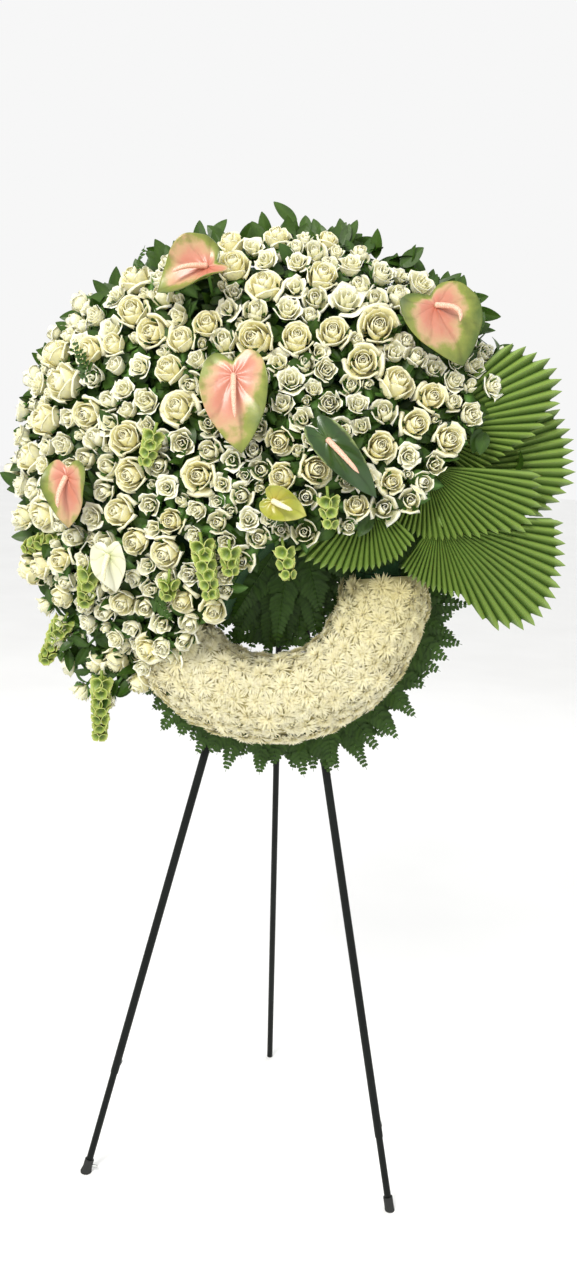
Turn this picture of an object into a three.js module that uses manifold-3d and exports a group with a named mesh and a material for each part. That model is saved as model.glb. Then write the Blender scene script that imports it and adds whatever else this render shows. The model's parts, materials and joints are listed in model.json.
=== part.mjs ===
// A standing funeral wreath. A foam ring faced with chrysanthemums carries a domed mound of white
// roses and lisianthus, with anthuriums, fan palms, bells of Ireland, ferns and ruscus. A welded
// wire frame backs it, and it hangs on the front legs of a folding three-legged steel easel.
// Millimetres, +Z up, the front faces -Y, and the floor is at Z = 0.

import * as THREE from 'three';
import { mergeVertices } from 'three/addons/utils/BufferGeometryUtils.js';
import Module from 'manifold-3d';

const wasm = await Module();
wasm.setup();

// ---------------------------------------------------------------- driving dimensions

const GAP = 0.35;                 // clearance between pieces that touch or pass through each other
const FAR = 1500;                 // reach of the large solids that only cut others

const EASEL = { footOut: 270, footFront: 190, footBack: 240, apex: 1230 };
const RING_HEIGHT = 1050;         // height of the ring's centre above the floor
const LEAN = Math.atan2(EASEL.footFront, EASEL.apex);

// The wreath's own frame: u to the right, v up the front legs, n out of the front.
// Its zero is the ring's centre, in the plane of the front legs' axes.
const TUBE = { sides: 12, outer: 7, bore: 6.3, innerOuter: 6, innerBore: 5, rear: 5.75, rearBore: 4.75 };
const TELESCOPE = { leftShown: 190, rightShown: 130, inside: 240 };
const FOOT = { height: 24, plug: 6, left: 10.5, right: 8.5 };
const BRACKET = { halfWidth: 34, low: 30, high: 122, plate: 2.5, ear: 2.5, earIn: 7.5, bolt: 2.5 };
const PIVOT = { v: 58, n: -36 };  // the rear leg's hinge pin
const FRAME = { wire: 3, sides: 4, ring: 205, along: 290, up: 250, centreV: 200 };

const RING = { middle: 185.5, foam: 42.5, tray: 47.5, back: 22, trayRim: 58, top: 108 };
const MUMS = { half: 80, middle: 75, low: 20, from: -148, to: 8 };

// The ellipsoid through the bloom centres, and the depth of the greenery bed and foam under it.
const MOUND = { u: -10, v: 185, n: 45, along: 430, up: 400, out: 185, rim: 66 };
const BED = { under: 45, thick: 12, stemIn: 11 };

const FRAME_N = TUBE.outer + GAP + FRAME.wire;
const STEM = 2.5;

// Blooms as [u, v, diameter]; each stands on the mound at its own u and v.
const ROSES = [
  [-240, 470, 58], [-90, 530, 48], [-20, 545, 44], [60, 545, 38], [-80, 490, 56], [-20, 450, 60],
  [70, 470, 52], [140, 400, 66], [-30, 370, 66], [30, 380, 54], [90, 390, 52], [-230, 410, 56],
  [-190, 380, 56], [-150, 370, 46], [-110, 390, 46], [-260, 360, 42], [-300, 350, 50], [-370, 350, 56],
  [-160, 320, 48], [-340, 300, 68], [-140, 260, 58], [-290, 250, 54], [-220, 210, 56], [-370, 240, 58],
  [-400, 180, 52], [-100, 160, 54], [-210, 160, 54], [20, 220, 46], [40, 170, 48], [140, 350, 58],
  [180, 320, 58], [240, 300, 48], [170, 220, 50], [220, 260, 48], [270, 240, 50], [190, 170, 40],
  [140, 130, 40], [90, 190, 52], [-140, 90, 44], [-220, 90, 54], [-190, 60, 48], [-150, 40, 54],
  [-220, -40, 46], [-120, -30, 42], [-70, -40, 48], [-410, 0, 52], [-250, -140, 54],
  [-370, 90, 54], [-340, -40, 46],
];
const LISIANTHUS = [
  [-160, 510, 38], [-30, 500, 40], [20, 500, 38], [100, 500, 48], [150, 490, 48], [210, 480, 50],
  [100, 440, 60], [10, 420, 46], [-300, 410, 42], 
  [-210, 320, 42], [-230, 290, 40], [-90, 320, 38], [-400, 300, 46], [30, 310, 46], [-190, 270, 48],
  [-330, 200, 44], [-430, 220, 46], [-130, 210, 48], [80, 330, 42], [90, 280, 44],
  [130, 280, 40], [270, 330, 40], [300, 280, 46], [330, 330, 40], [350, 380, 36],
  [210, 210, 38], [-150, 140, 38], [-270, 90, 42],
  [-100, 110, 38], [-20, 100, 40], [-290, 20, 36], [-120, 20, 42],
  [-200, 0, 36], [-290, -80, 42], [-380, -60, 40], [-320, -110, 40], [-350, -150, 40],
  [-310, -200, 44], [-420, 140, 50], [-430, 80, 46],
];

// Flower clusters: each covers one stretch of the mound, [from, to] in degrees round it.
const CLUSTERS = {
  blooms_right: { turn: [0, 52], reach: [0.52, 1.2] },
  blooms_upper_right: { turn: [52, 92], reach: [0.52, 1.2] },
  blooms_upper_left: { turn: [92, 132], reach: [0.52, 1.2] },
  blooms_left_top: { turn: [132, 166], reach: [0.52, 1.2] },
  blooms_left: { turn: [166, 204], reach: [0.52, 1.2] },
  blooms_lower_left: { turn: [204, 275], reach: [0.52, 1.2] },
  blooms_heart_right: { turn: [0, 90], reach: [0, 0.52] },
  blooms_heart_upper: { turn: [90, 180], reach: [0, 0.52] },
  blooms_heart_left: { turn: [180, 265], reach: [0, 0.52] },
  blooms_heart_low: { turn: [265, 360], reach: [0, 0.52] },
};

// Anthuriums: u, v, how far the spathe stands over the bloom centres, its width and length,
// the way its tip points in degrees from straight down, and how much it is rolled.
const ANTHURIUMS = {
  anthurium_pink_top: { u: -125, v: 450, over: 40, size: [96, 112], turn: -60, roll: 0.9 },
  anthurium_pink_centre: { u: -45, v: 275, over: 36, size: [108, 152], turn: 10, roll: 0.25 },
  anthurium_pink_right: { u: 235, v: 400, over: 40, size: [140, 132], turn: 25, roll: 0.2 },
  anthurium_salmon_left: { u: -295, v: 130, over: 36, size: [88, 104], turn: 0, roll: 0.3 },
  anthurium_white: { u: -222, v: 25, over: 36, size: [66, 80], turn: 5, roll: 0.2 },
  anthurium_yellow_green: { u: 32, v: 125, over: 34, size: [52, 70], turn: 70, roll: 0.5 },
  anthurium_dark_green: { u: 110, v: 200, over: 38, size: [56, 146], turn: 45, roll: 0.6 },
};

// Fan palms: hub, depth, fan radii, and the stretch of the fan in degrees from +u.
const PALMS = {
  palm_upper: { hub: [218, 256], n: 148, radius: [150, 240], turn: [-30, 38], pleats: 6 },
  palm_back: { hub: [245, 198], n: 128, radius: [100, 231], turn: [-18, 30], pleats: 5 },
  palm_middle: { hub: [237, 200], n: 168, radius: [30, 188], turn: [-135, 0], pleats: 9 },
  palm_small: { hub: [156, 152], n: 184, radius: [44, 145], turn: [-145, -42], pleats: 7 },
  palm_lower: { hub: [263, 124], n: 158, radius: [24, 226], turn: [-122, 2], pleats: 9 },
};
const PALM = { thick: 2.4, pleat: 4.5, droop: 0.0006, droopFrom: 150 };

// Bells of Ireland: each spike from its stem end to its tip, as [u, v, n].
const BELLS = {
  bells_left: { from: [-335, 62, 118], to: [-415, 34, 84] },
  bells_left_low: { from: [-340, -80, 84], to: [-375, -155, 70] },
  bells_hanging: { from: [-268, -172, 96], to: [-268, -276, 84] },
  bells_over_hole: { from: [-88, 62, 236], to: [-66, -24, 240] },
  bells_hole_top: { from: [34, 62, 214], to: [46, 12, 216] },
  bells_among_roses: { from: [98, 142, 240], to: [106, 92, 236] },
};
const BELL = { radius: 14, stem: 4, tiers: 4 };

// Leatherleaf fern tips round the foot of the ring, as [u, v], and the fronds in its hole.
const COLLAR_FERNS = [
  [-250, -175], [-205, -235], [-145, -290], [-75, -330], [0, -322], [70, -325], [140, -320],
  [205, -285], [250, -215], [285, -140], [308, -65], [292, 5],
];
const HOLE_FERNS = [[[28, 62], [14, -96]], [[4, 58], [-62, -62]], [[54, 60], [84, -40]]];
const FERN = { root: 190, thick: 3, n: 19, wide: 0.32, teeth: 2, holeN: 64 };

// Ruscus sprays round the rim: the leaves' tips as [u, v], all from one stem end in the foam.
const SPRAYS = {
  ruscus_left: [[-462, 250], [-450, 292], [-438, 340], [-418, 384]],
  ruscus_upper_left: [[-392, 425], [-358, 452], [-320, 488], [-298, 512]],
  ruscus_top_left: [[-250, 545], [-200, 568], [-165, 596], [-120, 600]],
  ruscus_top: [[-42, 628], [24, 606], [96, 596], [138, 574]],
  ruscus_upper_right: [[182, 556], [250, 528], [318, 492], [340, 458]],
};
const RUSCUS = { length: 56, width: 26, thick: 2.4, n: 31 };

// ---------------------------------------------------------------- solids

function solid(geometry) {
  const bare = new THREE.BufferGeometry();
  bare.setAttribute('position', geometry.getAttribute('position'));
  if (geometry.index) bare.setIndex(geometry.index);
  const merged = mergeVertices(bare, 1e-3);
  const index = merged.index.array;
  const kept = [];
  for (let i = 0; i < index.length; i += 3) {
    const [a, b, c] = [index[i], index[i + 1], index[i + 2]];
    if (a !== b && b !== c && c !== a) kept.push(a, b, c);
  }
  return new wasm.Manifold(new wasm.Mesh({
    numProp: 3,
    vertProperties: new Float32Array(merged.getAttribute('position').array),
    triVerts: new Uint32Array(kept),
  }));
}

function geometryOf(body) {
  const mesh = body.getMesh();
  const geometry = new THREE.BufferGeometry();
  geometry.setAttribute('position', new THREE.BufferAttribute(mesh.vertProperties, 3));
  geometry.setIndex(new THREE.BufferAttribute(mesh.triVerts, 1));
  return geometry;
}

const joined = (bodies) => bodies.reduce((whole, body) => whole.add(body));
const without = (body, cutters) => cutters.reduce((rest, cutter) => rest.subtract(cutter), body);
const vector = (point) => new THREE.Vector3(...point);

// Turns a geometry built along +Y so that it runs from one point towards another.
function aimed(geometry, from, to) {
  const way = vector(to).sub(vector(from)).normalize();
  const turn = new THREE.Quaternion().setFromUnitVectors(new THREE.Vector3(0, 1, 0), way);
  return geometry.applyQuaternion(turn).translate(...from);
}

function turned(profile, sides) {
  return new THREE.LatheGeometry(profile.map(([r, y]) => new THREE.Vector2(r, y)), sides);
}

function rod(from, to, radius, sides = 6) {
  const length = vector(to).distanceTo(vector(from));
  return solid(aimed(turned([[0, 0], [radius, 0], [radius, length], [0, length]], sides), from, to));
}

// A stem from its end in the foam; where it is grown, it also reaches deeper.
function stalk(root, end, radius, grow) {
  return rod(between(root, end, -grow), end, radius + grow, 5);
}

function tube(from, to, radius, bore) {
  const length = vector(to).distanceTo(vector(from));
  const ring = [[bore, 0], [radius, 0], [radius, length], [bore, length], [bore, 0]];
  return solid(aimed(turned(ring, TUBE.sides), from, to));
}

function block(low, high) {
  const size = high.map((value, axis) => value - low[axis]);
  const middle = high.map((value, axis) => (value + low[axis]) / 2);
  return solid(new THREE.BoxGeometry(...size).translate(...middle));
}

function prism(outline, low, high) {
  const shape = new THREE.Shape(outline.map(([x, y]) => new THREE.Vector2(x, y)));
  const options = { depth: high - low, bevelEnabled: false };
  return solid(new THREE.ExtrudeGeometry(shape, options).translate(0, 0, low));
}

// A plate between two equal rows of points, top and bottom, each row read round its centre.
function plate(outline, thick, bend) {
  const place = (x, y, side) => [x, y, bend(x, y) + side * thick / 2];
  const points = [place(0, 0, 1), place(0, 0, -1)];
  outline.forEach(([x, y]) => points.push(place(x, y, 1), place(x, y, -1)));
  const faces = [];
  outline.forEach((point, i) => {
    const a = 2 + 2 * i;
    const b = 2 + 2 * ((i + 1) % outline.length);
    faces.push(0, a, b, 1, b + 1, a + 1, a, a + 1, b + 1, a, b + 1, b);
  });
  return indexed(points, faces);
}

function indexed(points, faces) {
  const geometry = new THREE.BufferGeometry();
  geometry.setAttribute('position', new THREE.Float32BufferAttribute(points.flat(), 3));
  geometry.setIndex(faces);
  return geometry;
}

// ---------------------------------------------------------------- the wreath's frame and the easel's lines

const ringFront = -EASEL.footFront * (1 - RING_HEIGHT / EASEL.apex);
const wreath = new THREE.Group();
wreath.rotation.x = Math.PI / 2 - LEAN;
wreath.position.set(0, ringFront, RING_HEIGHT);
wreath.updateMatrix();
const toWreath = wreath.matrix.clone().invert();

// A point given on the room's axes, in the wreath's frame.
const fromRoom = (x, y, z) => new THREE.Vector3(x, y, z).applyMatrix4(toWreath).toArray();

function between(from, to, distance) {
  const start = vector(from);
  return start.add(vector(to).sub(start).setLength(distance)).toArray();
}

const apex = fromRoom(0, 0, EASEL.apex);
const footAt = {
  left: fromRoom(-EASEL.footOut, -EASEL.footFront, 0),
  right: fromRoom(EASEL.footOut, -EASEL.footFront, 0),
  rear: fromRoom(0, EASEL.footBack, 0),
};
const pivot = [0, PIVOT.v, PIVOT.n];
const floor = solid(new THREE.BoxGeometry(FAR, FAR, FAR).translate(0, 0, -FAR / 2).applyMatrix4(toWreath));

// The front legs' sideways place at a height v.
const legAt = (v) => EASEL.footOut * (apex[1] - v) / (apex[1] - footAt.left[1]);

// ---------------------------------------------------------------- meshes

const COLOURS = {
  paint: [0x17201b, 0.45, 0.4],
  rubber: [0x121413, 0.8, 0],
  zinc: [0x8c8f8c, 0.4, 0.8],
  wire: [0x2f3b30, 0.5, 0.6],
  foam: [0x2f5a35, 0.95, 0],
  tray: [0x1f3d24, 0.5, 0],
  mums: [0xf0ecd8, 0.8, 0],
  ivory: [0xf2eed8, 0.7, 0],
  pink: [0xd98f7c, 0.3, 0],
  white: [0xf3f1e2, 0.3, 0],
  lime: [0xa9b75a, 0.35, 0],
  green: [0x2c5a26, 0.4, 0],
  palm: [0x4c8434, 0.45, 0],
  bell: [0x9cb65a, 0.6, 0],
  fern: [0x1d4420, 0.6, 0],
  ruscus: [0x1f3d1c, 0.45, 0],
};

function addMesh(name, body, colour) {
  const [color, roughness, metalness] = COLOURS[colour];
  const material = new THREE.MeshStandardMaterial({ color, roughness, metalness });
  const mesh = new THREE.Mesh(geometryOf(body), material);
  mesh.name = name;
  wreath.add(mesh);
}

// ---------------------------------------------------------------- easel

function addFrontLeg(side, shown, flare) {
  const sign = side === 'left' ? -1 : 1;
  const foot = footAt[side];
  const top = [sign * legAt(BRACKET.high - 17), BRACKET.high - 17, 0];
  const joint = between(foot, apex, shown);
  const boltAt = [sign * legAt(75), 75];
  const bolt = (grow) => boltBody([...boltAt, 0], BRACKET.bolt + grow, grow);
  const screwAt = between(foot, apex, shown + 14);
  const screw = (grow) => clampScrew(screwAt, grow);
  const upper = tube(joint, top, TUBE.outer, TUBE.bore);
  addMesh(`easel_${side}_upper_tube`, without(upper, [bolt(GAP), screw(GAP)]), 'paint');
  const lowerStart = between(foot, apex, FOOT.plug + GAP);
  const lowerEnd = between(foot, apex, shown + TELESCOPE.inside);
  addMesh(`easel_${side}_lower_tube`, tube(lowerStart, lowerEnd, TUBE.innerOuter, TUBE.innerBore), 'paint');
  addMesh(`easel_${side}_leg_bolt`, bolt(0), 'zinc');
  addMesh(`easel_${side}_clamp_screw`, screw(0), 'zinc');
  addFoot(side, foot, flare);
}

// A bolt along n through a front tube and the bracket's plate, with its head and nut.
function boltBody(at, radius, grow) {
  const front = TUBE.outer + GAP - grow;
  const back = TUBE.outer + GAP + BRACKET.plate + GAP - grow;
  const head = rod([at[0], at[1], front], [at[0], at[1], TUBE.outer + 3], radius + 2);
  const nut = rod([at[0], at[1], -back], [at[0], at[1], -back - 4], radius + 2);
  return joined([rod([at[0], at[1], -back - 2], [at[0], at[1], front + 1], radius), head, nut]);
}

// A thumbscrew behind the end of an upper tube, which presses on the tube that slides in it.
function clampScrew(at, grow) {
  const tip = -(TUBE.innerOuter + GAP - grow);
  const shank = rod([at[0], at[1], tip], [at[0], at[1], -18], STEM + grow);
  const knob = rod([at[0], at[1], -12], [at[0], at[1], -19], 7, 8);
  return shank.add(knob);
}

function addFoot(side, foot, flare) {
  const straight = TUBE.innerOuter + 2.2;
  const bore = TUBE.innerOuter + GAP;
  const profile = [
    [0, -FOOT.plug], [flare * 0.8, -FOOT.plug], [flare, 0], [straight, FOOT.height * 0.4],
    [straight, FOOT.height], [bore, FOOT.height], [bore, FOOT.plug], [0, FOOT.plug],
  ];
  const whole = solid(aimed(turned(profile, TUBE.sides), foot, apex));
  const cutters = [floor];
  if (side === 'left') {
    const from = between(foot, apex, FOOT.height / 2);
    const screw = (grow) => rod(
      [from[0] + bore + 0.3 - grow, from[1], 0], [from[0] + 17, from[1], 0], 2.2 + grow);
    cutters.push(screw(GAP));
    addMesh('easel_left_foot_screw', screw(0), 'zinc');
  }
  addMesh(`easel_${side}_foot`, without(whole, cutters), 'rubber');
}

// The rear leg runs past its hinge pin, and its end rests on the bracket's plate when it is open.
function addRearLeg() {
  const plateBack = -(TUBE.outer + GAP + BRACKET.plate);
  const opening = Math.atan2(footAt.rear[2] - pivot[2], pivot[1] - footAt.rear[1]);
  const angle = Math.abs(opening);
  const reach = plateBack - GAP - pivot[2] - TUBE.rear * Math.cos(angle);
  const top = between(pivot, footAt.rear, -reach / Math.sin(angle));
  const low = between(footAt.rear, pivot, -8);
  const leg = tube(low, top, TUBE.rear, TUBE.rearBore);
  addMesh('easel_rear_leg', without(leg, [floor, hingePin(GAP)]), 'paint');
}

function hingePin(grow) {
  const head = BRACKET.earIn + BRACKET.ear + GAP - grow;
  const end = head + 2.6 + 2 * grow;
  const at = (u) => [u, PIVOT.v, PIVOT.n];
  return joined([
    rod(at(-end), at(end), BRACKET.bolt + grow),
    rod(at(-end), at(-head), BRACKET.bolt + 2 + grow),
    rod(at(head), at(end), BRACKET.bolt + 2 + grow),
  ]);
}

function addHeadBracket() {
  const front = -(TUBE.outer + GAP);
  const back = front - BRACKET.plate;
  const { halfWidth, low, high, earIn, ear } = BRACKET;
  const outline = [[-halfWidth, low + 12], [-halfWidth + 12, low], [halfWidth - 12, low],
    [halfWidth, low + 12], [halfWidth - 8, high - 10], [halfWidth - 18, high],
    [-halfWidth + 18, high], [-halfWidth + 8, high - 10]];
  const ears = [-1, 1].map((sign) => {
    const sides = [sign * earIn, sign * (earIn + ear)].sort((a, b) => a - b);
    return block([sides[0], PIVOT.v - 14, PIVOT.n - 9], [sides[1], PIVOT.v + 14, back + 1]);
  });
  const cutters = [hingePin(GAP)];
  [-1, 1].forEach((sign) => cutters.push(boltBody([sign * legAt(75), 75], BRACKET.bolt + GAP, GAP)));
  const bracket = joined([prism(outline, back, front), ...ears]);
  addMesh('easel_head_bracket', without(bracket, cutters), 'paint');
  addMesh('easel_hinge_pin', hingePin(0), 'zinc');
}

// ---------------------------------------------------------------- wire frame and what holds it

function hoop(along, up, centreV, radius, steps) {
  const across = new THREE.TorusGeometry(1, 1, FRAME.sides, steps);
  const place = across.getAttribute('position');
  for (let i = 0; i <= FRAME.sides; i += 1) {
    for (let j = 0; j <= steps; j += 1) {
      const turn = (j / steps) * 2 * Math.PI;
      const round = (i / FRAME.sides) * 2 * Math.PI;
      const out = radius * Math.cos(round);
      place.setXYZ(i * (steps + 1) + j, (along + out) * Math.cos(turn),
        (up + out) * Math.sin(turn) + centreV, FRAME_N + radius * Math.sin(round));
    }
  }
  return solid(across);
}

function wireFrame(grow) {
  const wire = FRAME.wire + grow;
  const bar = (from, to) => rod([...from, FRAME_N], [...to, FRAME_N], wire, FRAME.sides);
  const ring = hoop(FRAME.ring, FRAME.ring, 0, wire, 18);
  const mound = hoop(FRAME.along, FRAME.up, FRAME.centreV, wire, 20);
  const spine = bar([0, -FRAME.ring], [0, FRAME.centreV + FRAME.up]);
  const cross = bar([-FRAME.along, FRAME.centreV], [FRAME.along, FRAME.centreV]);
  const low = bar([-FRAME.ring, 0], [FRAME.ring, 0]);
  return joined([ring, mound, spine, cross, low]);
}

// A clip on each front leg with a lip that the ring's wire sits behind.
function addHook(side) {
  const sign = side === 'left' ? -1 : 1;
  const v = -190;
  const at = (height) => [sign * legAt(height), height, 0];
  const collar = tube(at(v - 26), at(v - 10), TUBE.outer + 2.4, TUBE.outer + GAP);
  const u = sign * legAt(v - 10);
  const lip = FRAME_N + FRAME.wire + 3.6;
  const tongue = block([u - 6, v - 24, TUBE.outer + GAP + 0.4], [u + 6, v + 8, lip]);
  addMesh(`easel_${side}_hook`, without(collar.add(tongue), [wireFrame(GAP)]), 'paint');
}

// A closed loop of wire that ties the frame's spine to the head bracket.
function addBindingWire() {
  const v = 92;
  const [side, back, front] = [BRACKET.halfWidth + 3, -13, FRAME_N + FRAME.wire + 1.7];
  const corners = [[-side, v, back], [side, v, back], [side, v, front], [-side, v, front]];
  const past = (from, to) => between(from, to, -1);
  const links = corners.map((corner, i) => {
    const next = corners[(i + 1) % corners.length];
    return rod(past(corner, next), past(next, corner), 1.2, 4);
  });
  addMesh('binding_wire', joined(links), 'wire');
}

// ---------------------------------------------------------------- ring

function ringFoam(grow) {
  const [inner, outer] = [RING.middle - RING.foam - grow, RING.middle + RING.foam + grow];
  const top = RING.top + grow;
  const profile = [
    [inner, RING.back + 4 - grow], [outer, RING.back + 4 - grow], [outer, top - 16], [outer - 16, top],
    [inner + 16, top], [inner, top - 16], [inner, RING.back + 4 - grow],
  ];
  return solid(turned(profile, 24).rotateX(Math.PI / 2).scale(1, 1, 1));
}

function ringTray(grow) {
  const [inner, outer] = [RING.middle - RING.tray - grow, RING.middle + RING.tray + grow];
  const wall = RING.tray - RING.foam - GAP + 2 * grow;
  const [base, rim] = [RING.back + 4 - GAP + grow, RING.trayRim + grow];
  const profile = [
    [inner, RING.back - grow], [outer, RING.back - grow], [outer, rim], [outer - wall, rim],
    [outer - wall, base], [inner + wall, base], [inner + wall, rim], [inner, rim], [inner, RING.back - grow],
  ];
  return solid(turned(profile, 24).rotateX(Math.PI / 2));
}

// Chrysanthemum heads packed side by side over the lower half of the ring, open to its back.
function mumCrescent(grow) {
  const steps = 10;
  const profile = [];
  const start = Math.asin((MUMS.low - MUMS.middle) / MUMS.half);
  for (let i = 0; i <= steps; i += 1) {
    const turn = start + (Math.PI - 2 * start) * (i / steps);
    profile.push([RING.middle + (MUMS.half + grow) * Math.cos(turn),
      MUMS.middle + (MUMS.half - 5 + grow) * Math.sin(turn)]);
  }
  profile.push(profile[0]);
  const body = solid(turned(profile, 26).rotateX(Math.PI / 2));
  const reach = 2 * MUMS.half + RING.middle;
  const [from, to] = [MUMS.from, MUMS.to].map((value) => THREE.MathUtils.degToRad(value));
  const wedge = [[0, 0]];
  for (let i = 0; i <= 6; i += 1) {
    const turn = from + (to - from) * (i / 6);
    wedge.push([reach * Math.cos(turn), reach * Math.sin(turn)]);
  }
  return body.intersect(prism(wedge, -FAR / 2, FAR / 2));
}

// ---------------------------------------------------------------- mound

const shrunk = (by) => ({ ...MOUND, along: MOUND.along - by, up: MOUND.up - by, out: MOUND.out - by });

function dome(ellipsoid, back) {
  const profile = [[0, back], [1, back]];
  const steps = 4;
  for (let i = 0; i <= steps; i += 1) {
    const turn = (i / steps) * Math.PI / 2;
    profile.push([Math.cos(turn), ellipsoid.n + ellipsoid.out * Math.sin(turn)]);
  }
  profile[profile.length - 1][0] = 0;
  const geometry = turned(profile, 18).rotateX(Math.PI / 2);
  return solid(geometry.scale(ellipsoid.along, ellipsoid.up, 1).translate(ellipsoid.u, ellipsoid.v, 0));
}

// The mound stops short of the hole and of the palms' side.
function moundReach() {
  const outline = [[600, 300], [600, 700], [-600, 700], [-600, -600], [-190, -190], [-95, -60],
    [-72, -62], [-40, 15], [10, 72], [120, 92], [215, 140], [285, 250]];
  return prism(outline, -FAR / 2, FAR / 2);
}

// A bloom's centre and the way it faces: out of the mound, and sideways past its rim.
function seat(u, v) {
  const across = (u - MOUND.u) / MOUND.along;
  const rise = (v - MOUND.v) / MOUND.up;
  const out = Math.sqrt(Math.max(0, 1 - across * across - rise * rise));
  const n = Math.max(MOUND.n + MOUND.out * out, MOUND.rim);
  const facing = new THREE.Vector3(across / MOUND.along, rise / MOUND.up, out / MOUND.out);
  return { at: [u, v, n], facing: facing.normalize() };
}

// Where a bloom's stem ends in the bed: straight under it, or on the bed's rim past the edge.
function stemEnd({ at, facing }) {
  const middle = shrunk(BED.under + BED.stemIn);
  const end = vector(at).addScaledVector(facing, -(BED.under + BED.stemIn));
  const across = (end.x - middle.u) / middle.along;
  const rise = (end.y - middle.v) / middle.up;
  const ratio = Math.hypot(across, rise);
  const most = 0.97;
  if (ratio < most) return end.toArray();
  end.x = middle.u + across * middle.along * most / ratio;
  end.y = middle.v + rise * middle.up * most / ratio;
  end.z = MOUND.rim;
  return end.toArray();
}

// Blooms pushed apart in the u and v directions until none touches another or an obstacle.
function spread(blooms, obstacles) {
  for (let round = 0; round < 160; round += 1) {
    blooms.forEach((bloom, i) => {
      bloom.seat = seat(bloom.u, bloom.v);
      const others = [...blooms.slice(0, i), ...obstacles];
      others.forEach((other) => {
        const place = other.seat ? other.seat.at : other.at;
        const apart = Math.hypot(...bloom.seat.at.map((value, axis) => value - place[axis]));
        const short = bloom.radius + other.radius + 1 - apart;
        if (short <= 0) return;
        const away = [bloom.u - place[0], bloom.v - place[1]];
        const flat = Math.hypot(...away) || 1;
        const share = other.seat ? 0.5 : 1;
        bloom.u += away[0] / flat * short * share;
        bloom.v += away[1] / flat * short * share;
        if (!other.seat) return;
        other.u -= away[0] / flat * short * share;
        other.v -= away[1] / flat * short * share;
      });
    });
  }
  blooms.forEach((bloom) => { bloom.seat = seat(bloom.u, bloom.v); });
  return blooms;
}

// A bloom as one turned solid from its stem's end to its petals, grown all round where asked.
function bloomBody(bloom, grow) {
  const { at, facing } = bloom.seat;
  const end = vector(stemEnd(bloom.seat));
  const axis = vector(at).sub(end).normalize();
  const length = vector(at).distanceTo(end);
  const radius = bloom.radius + grow;
  const stem = STEM + grow;
  const profile = [
    [0, -length], [stem, -length], [stem, -radius * 0.62], [radius, radius * 0.05],
    [radius * 0.62, radius * 0.62], [0, radius * 0.66],
  ];
  const tip = vector(at).add(axis).toArray();
  return solid(aimed(turned(profile, bloom.sides), at, facing.lengthSq() ? tip : tip));
}

function clusterWedge({ turn, reach }) {
  const middle = shrunk(BED.under);
  const [from, to] = turn.map((value) => THREE.MathUtils.degToRad(value));
  const steps = 8;
  const arc = (ratio, start, stop) => Array.from({ length: steps + 1 }, (unused, i) => {
    const angle = start + (stop - start) * (i / steps);
    return [MOUND.u + middle.along * ratio * Math.cos(angle), MOUND.v + middle.up * ratio * Math.sin(angle)];
  });
  const inset = 1 / (middle.along * Math.max(reach[1], 0.5));
  const outer = arc(reach[1] - inset, from + inset, to - inset);
  const inner = reach[0] > 0 ? arc(reach[0] + inset, to - inset, from + inset) : [clusterCorner(from, to)];
  return prism([...outer, ...inner], -FAR / 2, FAR / 2);
}

// The inner corner of a cluster that reaches the mound's middle, set back from its neighbours.
function clusterCorner(from, to) {
  const angle = (from + to) / 2;
  return [MOUND.u + 1.5 * Math.cos(angle), MOUND.v + 1.5 * Math.sin(angle)];
}

function clusterOf(bloom) {
  const middle = shrunk(BED.under);
  const [u, v] = stemEnd(bloom.seat);
  const across = (u - MOUND.u) / middle.along;
  const rise = (v - MOUND.v) / middle.up;
  const ratio = Math.hypot(across, rise);
  const angle = (THREE.MathUtils.radToDeg(Math.atan2(rise, across)) + 360) % 360;
  const inside = ([, { turn, reach }]) =>
    angle >= turn[0] && angle < turn[1] && ratio >= reach[0] && ratio < reach[1];
  return Object.entries(CLUSTERS).find(inside)[0];
}

// ---------------------------------------------------------------- anthuriums

const HEART = [[0, 0.34], [0.2, 0.47], [0.4, 0.38], [0.5, 0.12], [0.4, -0.18], [0.2, -0.42]];

function spathe({ u, v, over, size, turn, roll }, grow) {
  const half = HEART.map(([x, y]) => [x * size[0], y * size[1]]);
  const mirrored = half.slice(1).reverse().map(([x, y]) => [-x, y]);
  const outline = [...half, [0, -0.56 * size[1]], ...mirrored].reverse();
  const bend = (x, y) => roll * (x * x) / size[0] * 1.6 - (y * y) / size[1] * 0.25;
  const { at, facing } = seat(u, v);
  const base = vector(at).addScaledVector(facing, over);
  const frame = facingFrame(facing, turn, base);
  const leaf = solid(plate(outline, 2.6 + 2 * grow, bend).applyMatrix4(frame));
  const attach = new THREE.Vector3(0, 0.2 * size[1], 0).applyMatrix4(frame);
  const tip = new THREE.Vector3(0, -0.1 * size[1], 16).applyMatrix4(frame);
  const root = vector(stemEnd(seat(u, v))).addScaledVector(facing, -30);
  const stem = stalk(root.toArray(), attach.toArray(), STEM, grow);
  const spadix = rod(attach.toArray(), tip.toArray(), 4 + grow, 6);
  return joined([leaf, stem, spadix]);
}

// The axes of a thing that faces one way, turned about that way by an angle in degrees.
function facingFrame(facing, turn, origin) {
  const right = new THREE.Vector3(0, 1, 0).cross(facing).normalize();
  const up = facing.clone().cross(right);
  const basis = new THREE.Matrix4().makeBasis(right, up, facing).setPosition(origin);
  return basis.multiply(new THREE.Matrix4().makeRotationZ(THREE.MathUtils.degToRad(turn)));
}

// ---------------------------------------------------------------- palms, bells, ferns and ruscus

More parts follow.
